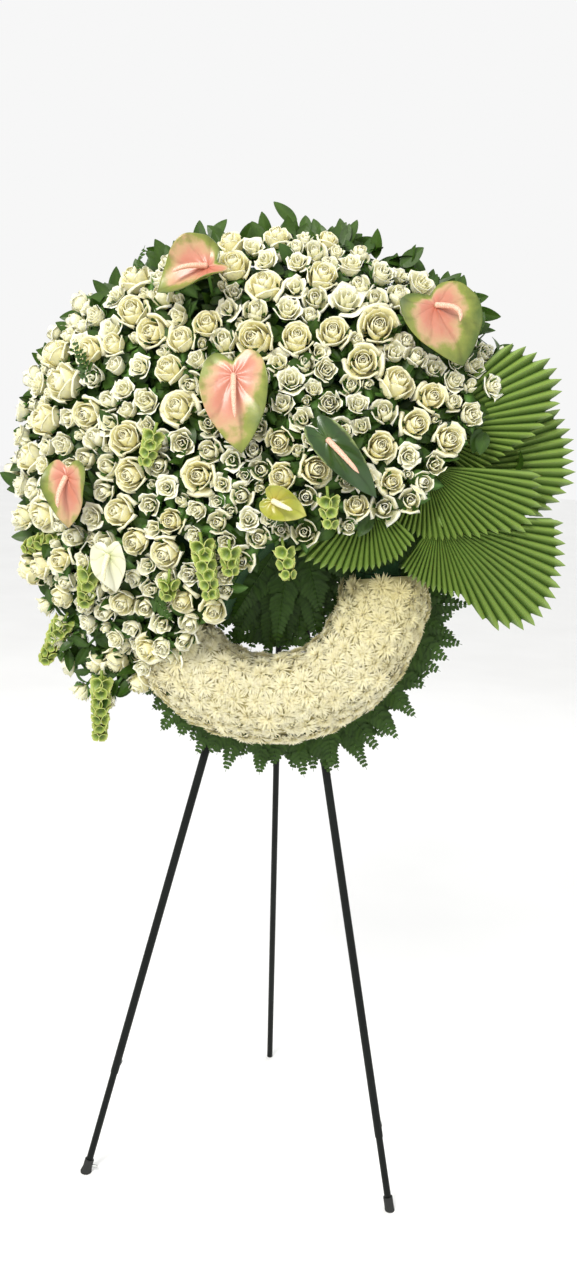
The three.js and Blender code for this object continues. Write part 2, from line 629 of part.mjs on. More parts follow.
function palm({ hub, n, radius, turn, pleats }, grow) {
  const [from, to] = turn.map((value) => THREE.MathUtils.degToRad(value));
  const rings = [radius[0] - grow, (radius[0] + radius[1]) / 2, radius[1] + grow];
  const folds = 2 * pleats;
  const points = [];
  rings.forEach((reach) => {
    for (let i = 0; i <= folds; i += 1) {
      const angle = from + (to - from) * (i / folds);
      const u = hub[0] + reach * Math.cos(angle);
      const fold = (i % 2 ? 1 : -1) * PALM.pleat * reach / radius[1];
      const depth = n + fold - PALM.droop * Math.max(0, u - PALM.droopFrom) ** 2;
      [1, -1].forEach((side) => {
        points.push([u, hub[1] + reach * Math.sin(angle), depth + side * (PALM.thick / 2 + grow)]);
      });
    }
  });
  const row = 2 * (folds + 1);
  const faces = [];
  const quad = (a, b, c, d) => faces.push(a, b, c, a, c, d);
  for (let ring = 0; ring < 2; ring += 1) {
    for (let i = 0; i < folds; i += 1) {
      const a = ring * row + 2 * i;
      quad(a, a + row, a + row + 2, a + 2);
      quad(a + 1, a + 3, a + row + 3, a + row + 1);
    }
    const end = ring * row + 2 * folds;
    quad(ring * row, ring * row + 1, (ring + 1) * row + 1, (ring + 1) * row);
    quad(end, end + row, end + row + 1, end + 1);
  }
  for (let i = 0; i < folds; i += 1) {
    quad(2 * i, 2 * i + 2, 2 * i + 3, 2 * i + 1);
    const a = 2 * row + 2 * i;
    quad(a, a + 1, a + 3, a + 2);
  }
  return solid(indexed(points, faces)).add(petiole({ hub, n, radius, turn }, grow));
}

// The palm's stalk, from the fan's inner edge back into the foam.
function petiole({ hub, n, radius, turn }, grow) {
  const angle = THREE.MathUtils.degToRad((turn[0] + turn[1]) / 2);
  const way = [Math.cos(angle), Math.sin(angle)];
  const reach = radius[0] + 6;
  const u = hub[0] + way[0] * reach;
  const start = [u, hub[1] + way[1] * reach, n - droopAt(u)];
  return stalk(palmRoot(hub), start, 3, grow);
}

const droopAt = (u) => PALM.droop * Math.max(0, u - PALM.droopFrom) ** 2;
const palmRoot = (hub) => [hub[0] - 60, hub[1] + 40, 96];

function bells({ from, to }, grow) {
  const length = vector(to).distanceTo(vector(from));
  const profile = [[0, 0], [BELL.stem + grow, 0]];
  for (let tier = 0; tier < BELL.tiers; tier += 1) {
    const taper = 1 - 0.4 * tier / BELL.tiers;
    profile.push([BELL.radius * taper + grow, length * (tier + 0.6) / BELL.tiers]);
    profile.push([BELL.stem * 1.4 + grow, length * (tier + 0.95) / BELL.tiers]);
  }
  profile.push([0, length + grow]);
  const spike = solid(aimed(turned(profile, 6), from, to));
  const root = bedPoint(from, 26);
  return spike.add(stalk(root, between(from, to, 4), STEM, grow));
}

// The point of the foam nearest to a place beside it, a little way in.
function bedPoint([u, v, n], depth) {
  const inner = shrunk(BED.under + BED.thick + depth);
  const towards = new THREE.Vector3((u - inner.u) / inner.along, (v - inner.v) / inner.up,
    Math.max(0.12, (n - inner.n) / inner.out));
  towards.normalize();
  return [inner.u + towards.x * inner.along, inner.v + towards.y * inner.up, inner.n + towards.z * inner.out];
}

// A flat fern frond with toothed sides, from its root to its tip.
function frond(root, tip, wide, n, grow = 0) {
  const length = Math.hypot(tip[0] - root[0], tip[1] - root[1]);
  const way = [(tip[0] - root[0]) / length, (tip[1] - root[1]) / length];
  const side = [];
  for (let i = 0; i < FERN.teeth; i += 1) {
    const along = (i + 0.2) / FERN.teeth;
    const width = wide * Math.sin(Math.PI * (0.22 + 0.76 * along));
    side.push([along, width], [along + 0.5 / FERN.teeth, width * 0.55]);
  }
  const place = ([along, out]) => [
    root[0] + way[0] * along * length - way[1] * out,
    root[1] + way[1] * along * length + way[0] * out,
  ];
  const left = side.map(place);
  const right = side.map(([along, out]) => place([along, -out])).reverse();
  const half = FERN.thick / 2 + grow;
  return prism([root, ...right.reverse(), tip, ...left.reverse()], n - half, n + half);
}

function collarFern() {
  return joined(COLLAR_FERNS.map((tip) => {
    const reach = Math.hypot(...tip);
    const root = tip.map((value) => value * FERN.root / reach);
    return frond(root, tip, reach * FERN.wide / 2, FERN.n);
  }));
}

function holeFern(grow) {
  const fronds = HOLE_FERNS.map(([root, tip]) => frond(root, tip, 26 + grow, FERN.holeN, grow));
  const stems = HOLE_FERNS.map(([root]) =>
    stalk([28, 104, FERN.holeN], [root[0], root[1] - 12, FERN.holeN], STEM, grow));
  return joined([...fronds, ...stems]);
}

// A spray of leaves whose stems meet at a fork just outside the foam, with one stalk pushed in.
function ruscus(tips, grow) {
  const middle = tips.reduce(([u, v], tip) => [u + tip[0] / tips.length, v + tip[1] / tips.length], [0, 0]);
  const root = rimPoint(middle, -24);
  const fork = rimPoint(middle, 14);
  const leaves = tips.map((tip) => {
    const length = Math.hypot(tip[0] - fork[0], tip[1] - fork[1]);
    const way = [(tip[0] - fork[0]) / length, (tip[1] - fork[1]) / length];
    const at = (along, out) => [
      tip[0] - way[0] * along - way[1] * out,
      tip[1] - way[1] * along + way[0] * out,
    ];
    const side = [[0.3, 0.4], [0.65, 0.45]].map(([along, out]) => [along * RUSCUS.length, out * RUSCUS.width]);
    side.push([RUSCUS.length, STEM], [length + 2, STEM]);
    const outline = [tip, ...side.map((point) => at(...point)),
      ...side.map(([along, out]) => at(along, -out)).reverse()];
    return prism(outline, RUSCUS.n - RUSCUS.thick / 2, RUSCUS.n + RUSCUS.thick / 2);
  });
  return joined([stalk([...root, RUSCUS.n], [...fork, RUSCUS.n], STEM, grow), ...leaves]);
}

// The foam rim's point on the way to a place outside it, moved out or in by a distance.
function rimPoint(place, out) {
  const rim = shrunk(BED.under);
  const angle = Math.atan2((place[1] - rim.v) / rim.up, (place[0] - rim.u) / rim.along);
  return [rim.u + (rim.along + out) * Math.cos(angle), rim.v + (rim.up + out) * Math.sin(angle)];
}

// ---------------------------------------------------------------- the whole wreath

const entriesOf = (specs, make) => Object.entries(specs).map(([name, spec]) => ({
  name, body: make(spec, 0), grown: make(spec, GAP),
}));

const anthuriums = entriesOf(ANTHURIUMS, spathe);
const palms = entriesOf(PALMS, palm);
const spikes = entriesOf(BELLS, bells);
const sprays = entriesOf(SPRAYS, ruscus);
const pushedIn = [...anthuriums, ...palms, ...spikes, ...sprays].map((piece) => piece.grown);

function obstacles() {
  const spathes = Object.values(ANTHURIUMS).map(({ u, v, size }) => ({
    at: seat(u, v).at, radius: Math.min(...size) * 0.22,
  }));
  const cups = Object.values(BELLS).flatMap(({ from, to }) => [0.1, 0.5, 0.9].map((share) => ({
    at: from.map((value, axis) => value + (to[axis] - value) * share), radius: BELL.radius + 3,
  })));
  return [...spathes, ...cups];
}

const blooms = spread([
  ...ROSES.map(([u, v, size]) => ({ u, v, radius: size / 2, sides: 5 })),
  ...LISIANTHUS.map(([u, v, size]) => ({ u, v, radius: size / 2, sides: 5 })),
], obstacles());

function addClusters() {
  const reach = moundReach();
  const inside = dome(shrunk(BED.under + BED.thick + GAP / 2), -FAR).intersect(reach);
  const shell = dome(shrunk(BED.under), RING.back).subtract(dome(shrunk(BED.under + BED.thick), -FAR));
  const fixed = [inside, ringFoam(GAP), ringTray(GAP), mumCrescent(GAP), ...pushedIn];
  Object.entries(CLUSTERS).forEach(([name, spec]) => {
    const own = blooms.filter((bloom) => clusterOf(bloom) === name);
    const others = blooms.filter((bloom) => clusterOf(bloom) !== name);
    const patch = shell.intersect(reach).intersect(clusterWedge(spec));
    const free = without(patch, others.map((bloom) => bloomBody(bloom, GAP)));
    const whole = joined([free, ...own.map((bloom) => bloomBody(bloom, 0))]);
    addMesh(name, without(whole, fixed), 'ivory');
  });
}

function addMoundFoam() {
  const foam = dome(shrunk(BED.under + BED.thick + GAP), RING.back).intersect(moundReach());
  const hollow = [ringFoam(GAP), ringTray(GAP), mumCrescent(GAP), holeFern(GAP)];
  addMesh('mound_foam', without(foam, [...hollow, ...pushedIn]), 'foam');
}

addFrontLeg('left', TELESCOPE.leftShown, FOOT.left);
addFrontLeg('right', TELESCOPE.rightShown, FOOT.right);
addRearLeg();
addHeadBracket();
addHook('left');
addHook('right');
addMesh('wire_frame', wireFrame(0), 'wire');
addBindingWire();
addMesh('ring_tray', ringTray(0), 'tray');
addMesh('ring_foam', without(ringFoam(0), pushedIn), 'foam');
addMesh('chrysanthemum_crescent', without(mumCrescent(0), [ringFoam(GAP), ringTray(GAP)]), 'mums');
addMesh('fern_collar', collarFern(), 'fern');
addMesh('fern_in_hole', holeFern(0), 'fern');
anthuriums.forEach(({ name, body }) => addMesh(name, body, ANTHURIUM_COLOUR(name)));
palms.forEach(({ name, body }) => addMesh(name, body, 'palm'));
spikes.forEach(({ name, body }) => addMesh(name, body, 'bell'));
sprays.forEach(({ name, body }) => addMesh(name, body, 'ruscus'));
addMoundFoam();
addClusters();

function ANTHURIUM_COLOUR(name) {
  if (name.includes('white')) return 'white';
  if (name.includes('green')) return name.includes('dark') ? 'green' : 'lime';
  return 'pink';
}

// The group's origin is the middle of its base, on the floor.
const part = new THREE.Group();
part.add(wreath);
part.updateMatrixWorld(true);
const bounds = new THREE.Box3().setFromObject(part, true);
wreath.position.sub(new THREE.Vector3(
  (bounds.min.x + bounds.max.x) / 2, (bounds.min.y + bounds.max.y) / 2, bounds.min.z));

export default part;
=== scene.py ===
"""Looks of a standing funeral wreath: petals, leaves, foam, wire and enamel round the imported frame.

Plants are built in the wreath's own frame, in millimetres: u to the right, v up the front legs and
n out of the front, from the ring's centre in the plane of the front legs. Piece turns them into
metres in the room's frame.
"""

import json
import math
import random

import bpy
import numpy as np
from mathutils import Matrix, Vector


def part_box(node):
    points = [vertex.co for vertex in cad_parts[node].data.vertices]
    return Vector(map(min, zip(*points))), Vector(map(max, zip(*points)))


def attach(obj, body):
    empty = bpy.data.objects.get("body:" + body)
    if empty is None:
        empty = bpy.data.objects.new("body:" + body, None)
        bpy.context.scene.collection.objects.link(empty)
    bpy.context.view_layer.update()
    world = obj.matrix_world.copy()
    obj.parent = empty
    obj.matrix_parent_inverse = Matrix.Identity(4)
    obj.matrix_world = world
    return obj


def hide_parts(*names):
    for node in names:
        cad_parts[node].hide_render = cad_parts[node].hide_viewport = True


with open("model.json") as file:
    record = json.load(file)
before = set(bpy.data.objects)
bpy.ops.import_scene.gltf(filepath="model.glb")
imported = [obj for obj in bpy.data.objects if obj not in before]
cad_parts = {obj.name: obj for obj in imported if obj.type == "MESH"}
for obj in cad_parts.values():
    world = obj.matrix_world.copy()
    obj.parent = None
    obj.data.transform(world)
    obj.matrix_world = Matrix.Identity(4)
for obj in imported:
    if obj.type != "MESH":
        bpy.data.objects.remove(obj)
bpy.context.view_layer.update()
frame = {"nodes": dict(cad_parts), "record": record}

MM = 0.001
STAND = "stand"
FRONT = np.array([0.0, 0.0, 1.0])

# ---- sizes and places, in millimetres and degrees

LEAN = math.atan2(190, 1230)
RING = {"middle": 185.5, "back": 22, "tray_rim": 58}
MUMS = {"half": 80, "middle": 75, "low": 20, "turn": (-148, 8), "thirds": (-98, -46), "bed_under": 19}
MOUND = {"u": -10, "v": 185, "n": 45, "along": 430, "up": 400, "out": 185, "rim": 66}
BED = {"under": 45, "stems": 11, "most": 0.97}
FOAM_BRICK = (230, 110)
GOLDEN = math.pi * (3 - math.sqrt(5))

ROSES = [
    (-240, 470, 58), (-90, 530, 48), (-20, 545, 44), (60, 545, 38), (-80, 490, 56), (-20, 450, 60),
    (70, 470, 52), (140, 400, 66), (-30, 370, 66), (30, 380, 54), (90, 390, 52), (-230, 410, 56),
    (-190, 380, 56), (-150, 370, 46), (-110, 390, 46), (-260, 360, 42), (-300, 350, 50),
    (-370, 350, 56), (-160, 320, 48), (-340, 300, 68), (-140, 260, 58), (-290, 250, 54),
    (-220, 210, 56), (-370, 240, 58), (-400, 180, 52), (-100, 160, 54), (-210, 160, 54),
    (20, 220, 46), (40, 170, 48), (140, 350, 58), (180, 320, 58), (240, 300, 48), (170, 220, 50),
    (220, 260, 48), (270, 240, 50), (190, 170, 40), (140, 130, 40), (90, 190, 52), (-140, 90, 44),
    (-220, 90, 54), (-190, 60, 48), (-150, 40, 54), (-220, -40, 46), (-120, -30, 42), (-70, -40, 48),
    (-410, 0, 52), (-250, -140, 54), (-370, 90, 54), (-340, -40, 46),
]
LISIANTHUS = [
    (-160, 510, 38), (-30, 500, 40), (20, 500, 38), (100, 500, 48), (150, 490, 48), (210, 480, 50),
    (100, 440, 60), (10, 420, 46), (-300, 410, 42), (-210, 320, 42), (-230, 290, 40), (-90, 320, 38),
    (-400, 300, 46), (30, 310, 46), (-190, 270, 48), (-330, 200, 44), (-430, 220, 46),
    (-130, 210, 48), (80, 330, 42), (90, 280, 44), (130, 280, 40), (270, 330, 40), (300, 280, 46),
    (330, 330, 40), (350, 380, 36), (210, 210, 38), (-150, 140, 38), (-270, 90, 42), (-100, 110, 38),
    (-20, 100, 40), (-290, 20, 36), (-120, 20, 42), (-200, 0, 36), (-290, -80, 42), (-380, -60, 40),
    (-320, -110, 40), (-350, -150, 40), (-310, -200, 44), (-420, 140, 50), (-430, 80, 46),
]
CASCADE = [
    (-338, -37, 44), (-291, -72, 46), (-310, -110, 42), (-277, -104, 40), (-250, -130, 38), (-209, -176, 44),
    (-250, -168, 40), (-181, -112, 44), (-153, -104, 40), (-191, -144, 36), (-338, -145, 42),
    (-300, -192, 44),
    (-245, -56, 40), (-219, -62, 38), (-380, 6, 46), (-413, 85, 44), (-377, -46, 42), (-235, -100, 36),
    (-347, -88, 40), (-263, -208, 40), (-352, -118, 38), (-286, -150, 42), (-330, 20, 42),
]
RIM_CLUSTERS = {
    "blooms_right": (0, 52), "blooms_upper_right": (52, 92), "blooms_upper_left": (92, 132),
    "blooms_left_top": (132, 166), "blooms_left": (166, 204), "blooms_lower_left": (204, 275),
}
HEART_CLUSTERS = {
    "blooms_heart_right": (0, 90), "blooms_heart_upper": (90, 180),
    "blooms_heart_left": (180, 265), "blooms_heart_low": (265, 360),
}
HEART_REACH = 0.52
PETAL_THICK = 0.5
PETALS_PAST = {"rose": 1.2, "lisianthus": 1.2, "small": 1.28}
CASCADE_CLOSE = 0.72
CASCADE_N = 74.0
ANTHURIUMS = {
    "anthurium_pink_top": dict(u=-125, v=450, over=40, size=(96, 112), turn=-60, roll=0.9, blush=0.80,
                               curl=0.25),
    "anthurium_pink_centre": dict(u=-45, v=275, over=36, size=(108, 152), turn=10, roll=0.25, blush=0.76),
    "anthurium_pink_right": dict(u=235, v=400, over=40, size=(140, 132), turn=25, roll=0.2, blush=0.9,
                                 curl=0.1, bent=1),
    "anthurium_salmon_left": dict(u=-295, v=130, over=36, size=(88, 104), turn=0, roll=0.3, blush=0.74),
    "anthurium_white": dict(u=-222, v=25, over=36, size=(66, 80), turn=5, roll=0.2, blush=1.0),
    "anthurium_yellow_green": dict(u=32, v=125, over=34, size=(52, 70), turn=70, roll=0.5, blush=0.9,
                                   curl=0.3),
    "anthurium_dark_green": dict(u=110, v=200, over=38, size=(56, 146), turn=45, roll=0.6, blush=0.8),
}
PALMS = {
    "palm_upper": dict(hub=(218, 256), n=148, turn=(-36, 48), pleats=19, rim=[
        (-36, 109), (-11, 147), (5, 195), (17, 236), (23, 244), (32, 236), (48, 194)]),
    "palm_back": dict(hub=(245, 198), n=128, turn=(-20, 36), pleats=13, rim=[
        (-20, 190), (-14, 204), (-2, 227), (13, 231), (28, 229), (36, 210)]),
    "palm_middle": dict(hub=(237, 200), n=168, turn=(-137, 2), pleats=29, rim=[
        (-137, 127), (-107, 104), (-77, 114), (-60, 122), (-40, 149), (-30, 183), (-15, 189), (2, 180)]),
    "palm_small": dict(hub=(156, 152), n=184, turn=(-147, -40), pleats=21, rim=[
        (-147, 148), (-131, 144), (-108, 130), (-87, 117), (-63, 111), (-40, 100)]),
    "palm_lower": dict(hub=(263, 124), n=158, turn=(-124, 4), pleats=28, rim=[
        (-124, 98), (-86, 116), (-68, 134), (-59, 196), (-51, 215), (-43, 228),
        (-33, 228), (-19, 214), (4, 192)]),
}
PALM_DROOP = 0.0006
PALM_DROOP_FROM = 150
BELLS = {
    "bells_left": ((-335, 62, 118), (-415, 34, 84)),
    "bells_left_low": ((-340, -80, 84), (-375, -155, 70)),
    "bells_hanging": ((-268, -172, 96), (-268, -276, 84)),
    "bells_over_hole": ((-88, 62, 236), (-66, -24, 240)),
    "bells_hole_top": ((34, 62, 214), (46, 12, 216)),
    "bells_among_roses": ((98, 142, 240), (106, 92, 236)),
}
MORE_BELLS = {
    "bells_upper_left": ((-170, 222, 236), (-183, 170, 232)),
    "bells_by_white": ((-276, 8, 172), (-288, -52, 150)),
    "bells_by_hole": ((-44, 54, 240), (-40, 14, 236)),
    "bells_low_middle": ((-138, 4, 218), (-140, -32, 208)),
}
BELL_CLEARANCE = 17
COLLAR_FERNS = [
    (-268, -150), (-228, -205), (-180, -262), (-118, -306), (-60, -332), (0, -322), (58, -328), (120, -326),
    (175, -300), (222, -250), (258, -195), (290, -130), (326, -84), (328, -32), (300, 34),
]
COLLAR_LAYERS = [
    (0, 1.0, 26, 38), (0.1, 0.95, 20, 40), (-0.1, 0.94, 22, 40), (0.2, 0.93, 14, 44), (-0.2, 0.92, 12, 44),
    (0.02, 0.88, 6, 48),
]
PALM_FERNS = [
    ((250, 120, 112), (150, 30, 108)), ((190, 110, 118), (110, 50, 112)), ((240, 110, 104), (215, 20, 108)),
    ((150, 100, 108), (190, 24, 100)),
]
HOLE_FERNS = [((28, 62), (14, -96)), ((4, 58), (-62, -62)), ((54, 60), (84, -40)), ((150, 78), (120, -14)),
              ((96, 84), (132, 8))]
SPRAYS = {
    "ruscus_left": [(-462, 250), (-450, 292), (-438, 340), (-418, 384)],
    "ruscus_upper_left": [(-392, 425), (-358, 452), (-320, 488), (-298, 512)],
    "ruscus_top_left": [(-250, 545), (-200, 568), (-165, 596), (-120, 600)],
    "ruscus_top": [(-42, 628), (24, 606), (96, 596), (138, 574)],
    "ruscus_upper_right": [(182, 556), (250, 528), (318, 492), (340, 458)],
}


# ---- ways and places

def unit(vector):
    return vector / np.linalg.norm(vector)


def unit_rows(vectors):
    return vectors / np.linalg.norm(vectors, axis=-1, keepdims=True)


def square_to(vector, way):
    """A vector less its part along a way."""
    return vector - way * np.dot(vector, way)


def ray(turn, rise=0.0):
    """The way out of the middle at an angle, with a rise along n."""
    return np.array([math.cos(turn), math.sin(turn), rise])


def turned(point, turn):
    """A point's u and v after a turn about the middle."""
    c, s = math.cos(turn), math.sin(turn)
    return np.array([point[0] * c - point[1] * s, point[0] * s + point[1] * c])


def round_grid(rho, theta, z):
    """Points at a distance from the middle, an angle round it and a height."""
    return np.stack([rho * np.cos(theta), rho * np.sin(theta), z + 0 * theta], axis=-1)


def scatter(rng, *amounts):
    """A random offset with its own spread on each axis; an axis without spread takes no draw."""
    return np.array([rng.gauss(0, amount) if amount else 0.0 for amount in amounts])


def curve(start, stop, lift, rows):
    """A shallow arc between two points that bulges by lift at its middle."""
    t = np.linspace(0, 1, rows)[:, None]
    start, stop = np.asarray(start, dtype=float), np.asarray(stop, dtype=float)
    return start + (stop - start) * t + np.asarray(lift, dtype=float) * 4 * t * (1 - t)


def through(values, t):
    """Smooth curve through evenly spaced values, at places t from 0 to 1."""
    values = np.asarray(values, dtype=float)
    last = len(values) - 1
    place = np.clip(t, 0, 1) * last
    k = np.minimum(place.astype(int), last - 1)
    x = place - k
    before, start, stop, after = (values[np.clip(k + step, 0, last)] for step in (-1, 0, 1, 2))
    return start + 0.5 * x * (stop - before + x * (
        2 * before - 5 * start + 4 * stop - after + x * (3 * (start - stop) + after - before)))


def wreath_frame():
    """Origin and axes of the wreath's frame in the room, from the ring tray's place."""
    middle = np.mean(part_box("ring_tray"), axis=0)
    axes = np.array([
        [1, 0, 0],
        [0, math.sin(LEAN), math.cos(LEAN)],
        [0, -math.cos(LEAN), math.sin(LEAN)],
    ])
    return middle - axes[2] * ((RING["back"] + RING["tray_rim"]) / 2 * MM), axes


ORIGIN, AXES = wreath_frame()


def room(points):
    """Points of the wreath's frame in millimetres, as points of the room in metres."""
    return ORIGIN + np.asarray(points, dtype=float) @ AXES * MM


def placed(points, origin, facing, turn=0.0, scale=1.0):
    """Points built facing +Z, put at a place of the wreath, facing a way and turned about it."""
    facing = unit(np.asarray(facing, dtype=float))
    right = unit(np.cross([0.0, 1.0, 0.0], facing))
    up = np.cross(facing, right)
    c, s = math.cos(turn), math.sin(turn)
    basis = np.stack([right * c + up * s, up * c - right * s, facing])
    return np.asarray(origin) + np.asarray(points) * scale @ basis


# ---- meshes

class Piece:
    """Faces of one piece of the scene, with a colour shade and a mood on every vertex."""

    def __init__(self):
        self.points = []
        self.faces = []
        self.values = {"shade": [], "mood": []}
        self.count = 0

    def add(self, points, faces, shade=0.5, mood=0.5):
        self.points.append(points)
        self.faces += [face + self.count for face in faces]
        for label, value in (("shade", shade), ("mood", mood)):
            self.values[label].append(np.broadcast_to(np.asarray(value, dtype=float), len(points)))
        self.count += len(points)

    def make(self, name, material, slot, nodes=(), smooth=True):
        points = room(np.concatenate(self.points))
        loops = np.concatenate([face.reshape(-1) for face in self.faces])
        totals = np.concatenate([np.full(len(face), face.shape[1]) for face in self.faces])
        starts = np.concatenate([[0], np.cumsum(totals)[:-1]])
        mesh = bpy.data.meshes.new(name)
        mesh.vertices.add(len(points))
        mesh.vertices.foreach_set("co", points.astype(np.float32).reshape(-1))
        mesh.loops.add(len(loops))
        mesh.loops.foreach_set("vertex_index", loops.astype(np.int32))
        mesh.polygons.add(len(totals))
        mesh.polygons.foreach_set("loop_start", starts.astype(np.int32))
        mesh.polygons.foreach_set("use_smooth", np.full(len(totals), smooth))
        mesh.update(calc_edges=True)
        for label, values in self.values.items():
            layer = mesh.attributes.new(label, "FLOAT", "POINT")
            layer.data.foreach_set("value", np.concatenate(values).astype(np.float32))
        mesh.materials.append(material)
        obj = bpy.data.objects.new(name, mesh)
        bpy.context.scene.collection.objects.link(obj)
        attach(obj, STAND)
        if nodes:
            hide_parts(*nodes)


def one_piece(name, material, slot, nodes, part, smooth=True):
    """A piece with a single part: its points, its faces and their shade and mood."""
    piece = Piece()
    piece.add(*part)
    piece.make(name, material, slot, nodes, smooth)


def quads(near, far):
    """Faces between rings of point numbers."""
    return np.stack([near, np.roll(near, -1, -1), np.roll(far, -1, -1), far], axis=-1).reshape(-1, 4)


def tube_faces(rows, sides, flip=False):
    """Faces between the rings of a tube, and a cap on each end; flip turns them inside out."""
    index = np.arange(rows * sides).reshape(rows, sides)
    side = quads(index[:-1], index[1:])
    if flip:
        return [side[:, [0, 3, 2, 1]], index[:1], index[-1:, ::-1]]
    return [side, index[:1, ::-1], index[-1:]]


def grid_faces(rows, columns):
    index = np.arange(rows * columns).reshape(rows, columns)
    return np.stack([index[:-1, :-1], index[:-1, 1:], index[1:, 1:], index[1:, :-1]], axis=-1).reshape(-1, 4)


def grid_normals(grid):
    normals = np.cross(np.gradient(grid, axis=1), np.gradient(grid, axis=0))
    return normals / np.maximum(np.linalg.norm(normals, axis=-1, keepdims=True), 1e-9)


def leaf_solid(grid, thick, shade):
    """A thin closed solid on a grid of points: two faces and a rim."""
    rows, columns = grid.shape[:2]
    offset = grid_normals(grid) * thick / 2
    points = np.concatenate([(grid + offset).reshape(-1, 3), (grid - offset).reshape(-1, 3)])
    size = rows * columns
    index = np.arange(size).reshape(rows, columns)
    border = np.concatenate([index[0, :], index[1:, -1], index[-1, -2::-1], index[-2:0:-1, 0]])
    following = np.roll(border, -1)
    rim = np.stack([border, border + size, following + size, following], axis=-1)
    face = grid_faces(rows, columns)
    return points, [face, face[:, ::-1] + size, rim], np.tile(shade.reshape(-1), 2)


def disc_solid(grid, thick, shade):
    """A thin closed solid on rings of points round a middle; grid[0] is the innermost ring."""
    rows, columns = grid.shape[:2]
    wrapped = np.concatenate([grid[:, -1:], grid, grid[:, :1]], axis=1)
    offset = grid_normals(wrapped)[:, 1:-1] * thick / 2
    size = rows * columns
    middle, lift = grid[0].mean(axis=0), offset[0].mean(axis=0)
    points = np.concatenate([
        (grid + offset).reshape(-1, 3), (grid - offset).reshape(-1, 3), [middle + lift, middle - lift],
    ])
    index = np.arange(size).reshape(rows, columns)
    side = quads(index[:-1], index[1:])
    first, last = index[0], index[-1]
    rim = np.stack([last, np.roll(last, -1), np.roll(last, -1) + size, last + size], axis=-1)
    fan = np.stack([first, np.full(columns, 2 * size), np.roll(first, -1)], axis=-1)
    under = np.stack([first + size, np.roll(first, -1) + size, np.full(columns, 2 * size + 1)], axis=-1)
    tone = np.concatenate([np.tile(shade.reshape(-1), 2), [shade[0].mean()] * 2])
    return points, [side, side[:, ::-1] + size, rim, fan, under], tone


def sweep(path, radius, sides=8):
    """A round tube along a path of points; radius is one value or one for each point."""
    path = np.asarray(path, dtype=float)
    count = len(path)
    radius = np.broadcast_to(np.asarray(radius, dtype=float), count)
    tangent = unit_rows(np.gradient(path, axis=0))
    turns = np.arange(sides) * math.tau / sides
    side = np.cross(tangent[0], [0.31, 0.42, 0.85])
    rings = []
    for i in range(count):
        side = unit(square_to(side, tangent[i]))
        ring = np.outer(np.cos(turns), side) + np.outer(np.sin(turns), np.cross(tangent[i], side))
        rings.append(path[i] + ring * radius[i])
    return np.concatenate(rings), tube_faces(count, sides)


def strip_leaf(path, wide, thick, normal, fold=0.15, teeth=0.0):
    """A leaf along a path: broad in the middle, pointed at both ends, creased along its midrib."""
    path = np.asarray(path, dtype=float)
    rows = len(path)
    t = np.linspace(0, 1, rows)
    tangent = unit_rows(np.gradient(path, axis=0))
    side = unit_rows(np.cross(normal, tangent))
    up = np.cross(tangent, side)
    width = wide / 2 * np.sin(math.pi * np.clip(t * 0.97 + 0.02, 0, 1) ** 0.8) ** 0.75
    width = (width * (1 - teeth * (np.arange(rows) % 2)))[:, None]
    raised = path + up * width * fold
    grid = np.stack([raised - side * width, path + up * thick / 2, raised + side * width,
                     path - up * thick / 2], axis=1)
    return grid.reshape(-1, 3), tube_faces(rows, 4, flip=True), np.tile([0.08, 0.55, 0.08, 0.3], rows)


def add_leaf(piece, rng, start, reach, lift, normal, wide, thick=0.6, rows=7, fold=0.2):
    """One leaf from its root along reach; lift bends it and its mood is drawn last."""
    path = curve(start, start + reach, lift, rows)
    piece.add(*strip_leaf(path, wide, thick, unit(normal), fold), rng.random())


# ---- materials

def new_material(name):
    material = bpy.data.materials.new(name)
    material.use_nodes = True
    return material, material.node_tree


def feed(tree, sockets, values):
    """Gives each socket its link or its plain value."""
    for socket, value in zip(sockets, values):
        if isinstance(value, bpy.types.NodeSocket):
            tree.links.new(value, socket)
        else:
            socket.default_value = (*value, 1) if isinstance(value, tuple) else value


def surface(tree, colour, values):
    """The colour of a material and the plain values of its other inputs, by their names."""
    inputs = tree.nodes["Principled BSDF"].inputs
    tree.links.new(colour, inputs["Base Color"])
    for name, value in values.items():
        inputs[name].default_value = value


def under_skin(weight, scale, radius=(1.0, 0.2, 0.1)):
    """How light spreads under the skin of a petal or leaf; scale is in metres."""
    return {"Subsurface Weight": weight, "Subsurface Scale": scale, "Subsurface Radius": radius}


def bump(tree, height, strength, distance):
    node = tree.nodes.new("ShaderNodeBump")
    feed(tree, (node.inputs["Strength"], node.inputs["Distance"], node.inputs["Height"]),
         (strength, distance, height))
    tree.links.new(node.outputs["Normal"], tree.nodes["Principled BSDF"].inputs["Normal"])


def attribute(tree, name):
    node = tree.nodes.new("ShaderNodeAttribute")
    node.attribute_name = name
    return node.outputs["Fac"]


def ramp(tree, factor, stops):
    node = tree.nodes.new("ShaderNodeValToRGB")
    elements = node.color_ramp.elements
    while len(elements) < len(stops):
        elements.new(0.5)
    for element, (place, colour) in zip(elements, stops):
        element.position = place
        element.color = (*colour, 1)
    tree.links.new(factor, node.inputs["Fac"])
    return node.outputs["Color"]


def texture(tree, kind, **values):
    """A texture node in the piece's own coordinates."""
    node = tree.nodes.new(kind)
    coords = tree.nodes.new("ShaderNodeTexCoord")
    tree.links.new(coords.outputs["Object"], node.inputs["Vector"])
    for name, value in values.items():
        node.inputs[name].default_value = value
    return node


def noise(tree, scale, detail=4.0):
    return texture(tree, "ShaderNodeTexNoise", Scale=scale, Detail=detail, Roughness=0.55).outputs["Fac"]


